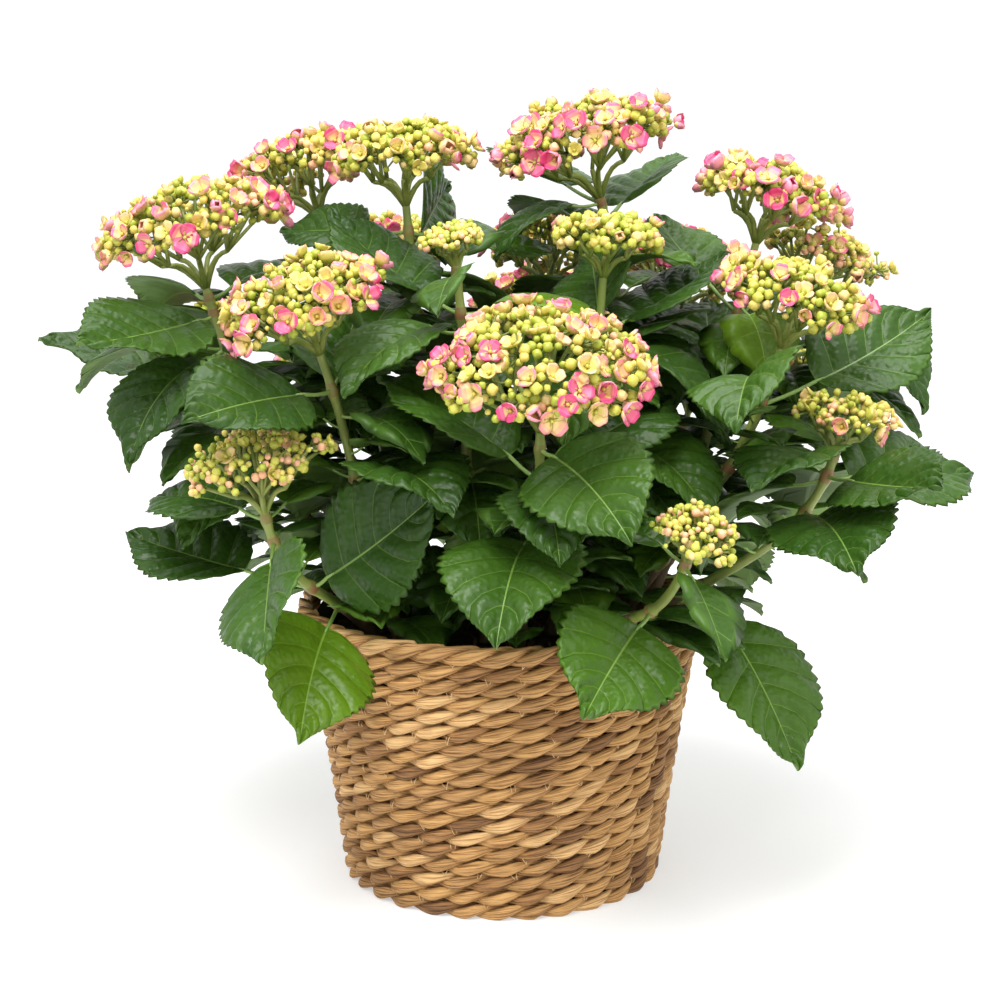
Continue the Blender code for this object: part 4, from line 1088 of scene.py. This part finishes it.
soilLook = {
    "relief": 0.0035, "low": 0.0025, "highest": 0.003, "rings": 34, "around": 110,
    "chips": 620, "chip": 0.0042,
    "foot": 0.74,           # radius at the floor over that at the top, to stay inside the lining
    "waves": ((90, 0.3), (160, 1.1), (290, 2.3), (420, 4.0)),       # how close, and turned by
}
peat = finish("peat", (0.020, 0.012, 0.007), (0.055, 0.034, 0.018), 160, 0.95, 0.0015, 420)
chipBrown = finish("chipBrown", (0.045, 0.026, 0.014), (0.11, 0.065, 0.035), 120, 0.9, 0.0006, 500)
soilEdge = float(potRadius(growth["soilTop"])) - pot["wall"] - 0.0004
rings, around = soilLook["rings"], soilLook["around"]
rho = np.linspace(0, 1, rings + 1)[1:, None] * soilEdge
theta = (np.arange(around) * math.tau / around)[None, :]
# lumps: each wave is a sine along one direction times a cosine along another
lumps = sum(np.sin(rho * f * np.cos(theta + p) + p * 5) * np.cos(rho * f * np.sin(theta - p) + p) / k
            for k, (f, p) in enumerate(soilLook["waves"], 1))
height = growth["soilTop"] - soilLook["low"] + soilLook["relief"] * 0.5 * lumps
height = height + rng.uniform(-0.0008, 0.0008, lumps.shape)
height = np.minimum(height, growth["soilTop"] + soilLook["highest"])
top = polar(rho, theta, height)
low = polar(rho[-1:] * soilLook["foot"], theta, pot["floor"] + 0.002)
soil = Batch()
points = np.concatenate([top, low]).reshape(-1, 3)
points = np.vstack([points, [[0, 0, growth["soilTop"] - 0.002]], [[0, 0, pot["floor"] + 0.002]]])
soil.add(points, ringQuads(rings + 1, around), 0, capTris(rings + 1, around), 0)
spots = np.sqrt(rng.uniform(0, 1, soilLook["chips"])) * (soilEdge - 0.004)
angles = rng.uniform(0, math.tau, soilLook["chips"])
places = polar(spots, angles, growth["soilTop"] - 0.0005)
tilt = unit(rng.normal(0, 1, (soilLook["chips"], 3)) + np.array([0, 0, 1.4]))
flatBead = (bead[0] * np.array([1.0, 0.62, 0.38]), *bead[1:])
turns = frames(tilt)
scatter(soil, flatBead, places, turns, soilLook["chip"] * rng.uniform(0.35, 1.0, len(spots)) ** 1.5, 1)
soilPiece = soil.build("soilSurface", [peat, chipBrown])
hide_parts("soil")
print("soil done")


studio = {
    "floor": (0.55, 0.55, 0.55), "floorGlow": 0.46, "floorReach": 30,
    "sky": (1.0, 1.0, 1.0), "skyStrength": 1.06,
    "lamps": (              # name, place, what it shines at, width and power
        ("keyLight", (-0.35, -1.1, 2.1), (0, 0, 0.28), 1.3, 48),
        ("fillLight", (1.3, -1.3, 1.3), (0, 0, 0.28), 1.6, 8),
        ("topLight", (0.1, 0.1, 2.2), (0, 0, 0.3), 1.8, 36),
    ),
}
floorMesh = bpy.data.meshes.new("floor")
reach = studio["floorReach"]
corners = [(x * reach, y * reach, 0) for x, y in ((-1, -1), (1, -1), (1, 1), (-1, 1))]
floorMesh.from_pydata(corners, [], [(0, 1, 2, 3)])
floor = put("floor", floorMesh)
paper = finish("floorPaper", studio["floor"], studio["floor"], 5, 0.9)
shader = paper.node_tree.nodes["Principled BSDF"]
shader.inputs["Emission Color"].default_value = (1, 1, 1, 1)
shader.inputs["Emission Strength"].default_value = studio["floorGlow"]
floorMesh.materials.append(paper)
floor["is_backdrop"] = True
world = bpy.context.scene.world or bpy.data.worlds.new("studio")
bpy.context.scene.world = world
world.use_nodes = True
sky = world.node_tree.nodes["Background"]
sky.inputs["Color"].default_value = (*studio["sky"], 1)
sky.inputs["Strength"].default_value = studio["skyStrength"]
for name, place, aim, width, power in studio["lamps"]:
    lamp = bpy.data.lights.new(name, "AREA")
    lamp.shape, lamp.size, lamp.energy = "DISK", width, power
    softBox = put(name, lamp)
    softBox.location = place
    softBox.rotation_euler = (Vector(aim) - Vector(place)).to_track_quat("-Z", "Y").to_euler()
bpy.context.scene.view_settings.view_transform = "Standard"

view = {"place": (-0.0013, -1.40, 0.5364), "down": 11.21, "lens": 75.57, "sensor": 36, "nearest": 0.05}
camera = put("camera", bpy.data.cameras.new("camera"))
camera.location = view["place"]
camera.rotation_euler = (math.radians(90 - view["down"]), 0, 0)
camera.data.lens = view["lens"]
camera.data.sensor_width = view["sensor"]
camera.data.clip_start = view["nearest"]
bpy.context.scene.camera = camera

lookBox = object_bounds()
sizes = {key: [list(map(float, corner)) for corner in box]
         for key, box in (("cad", cadBox), ("visual", lookBox))}
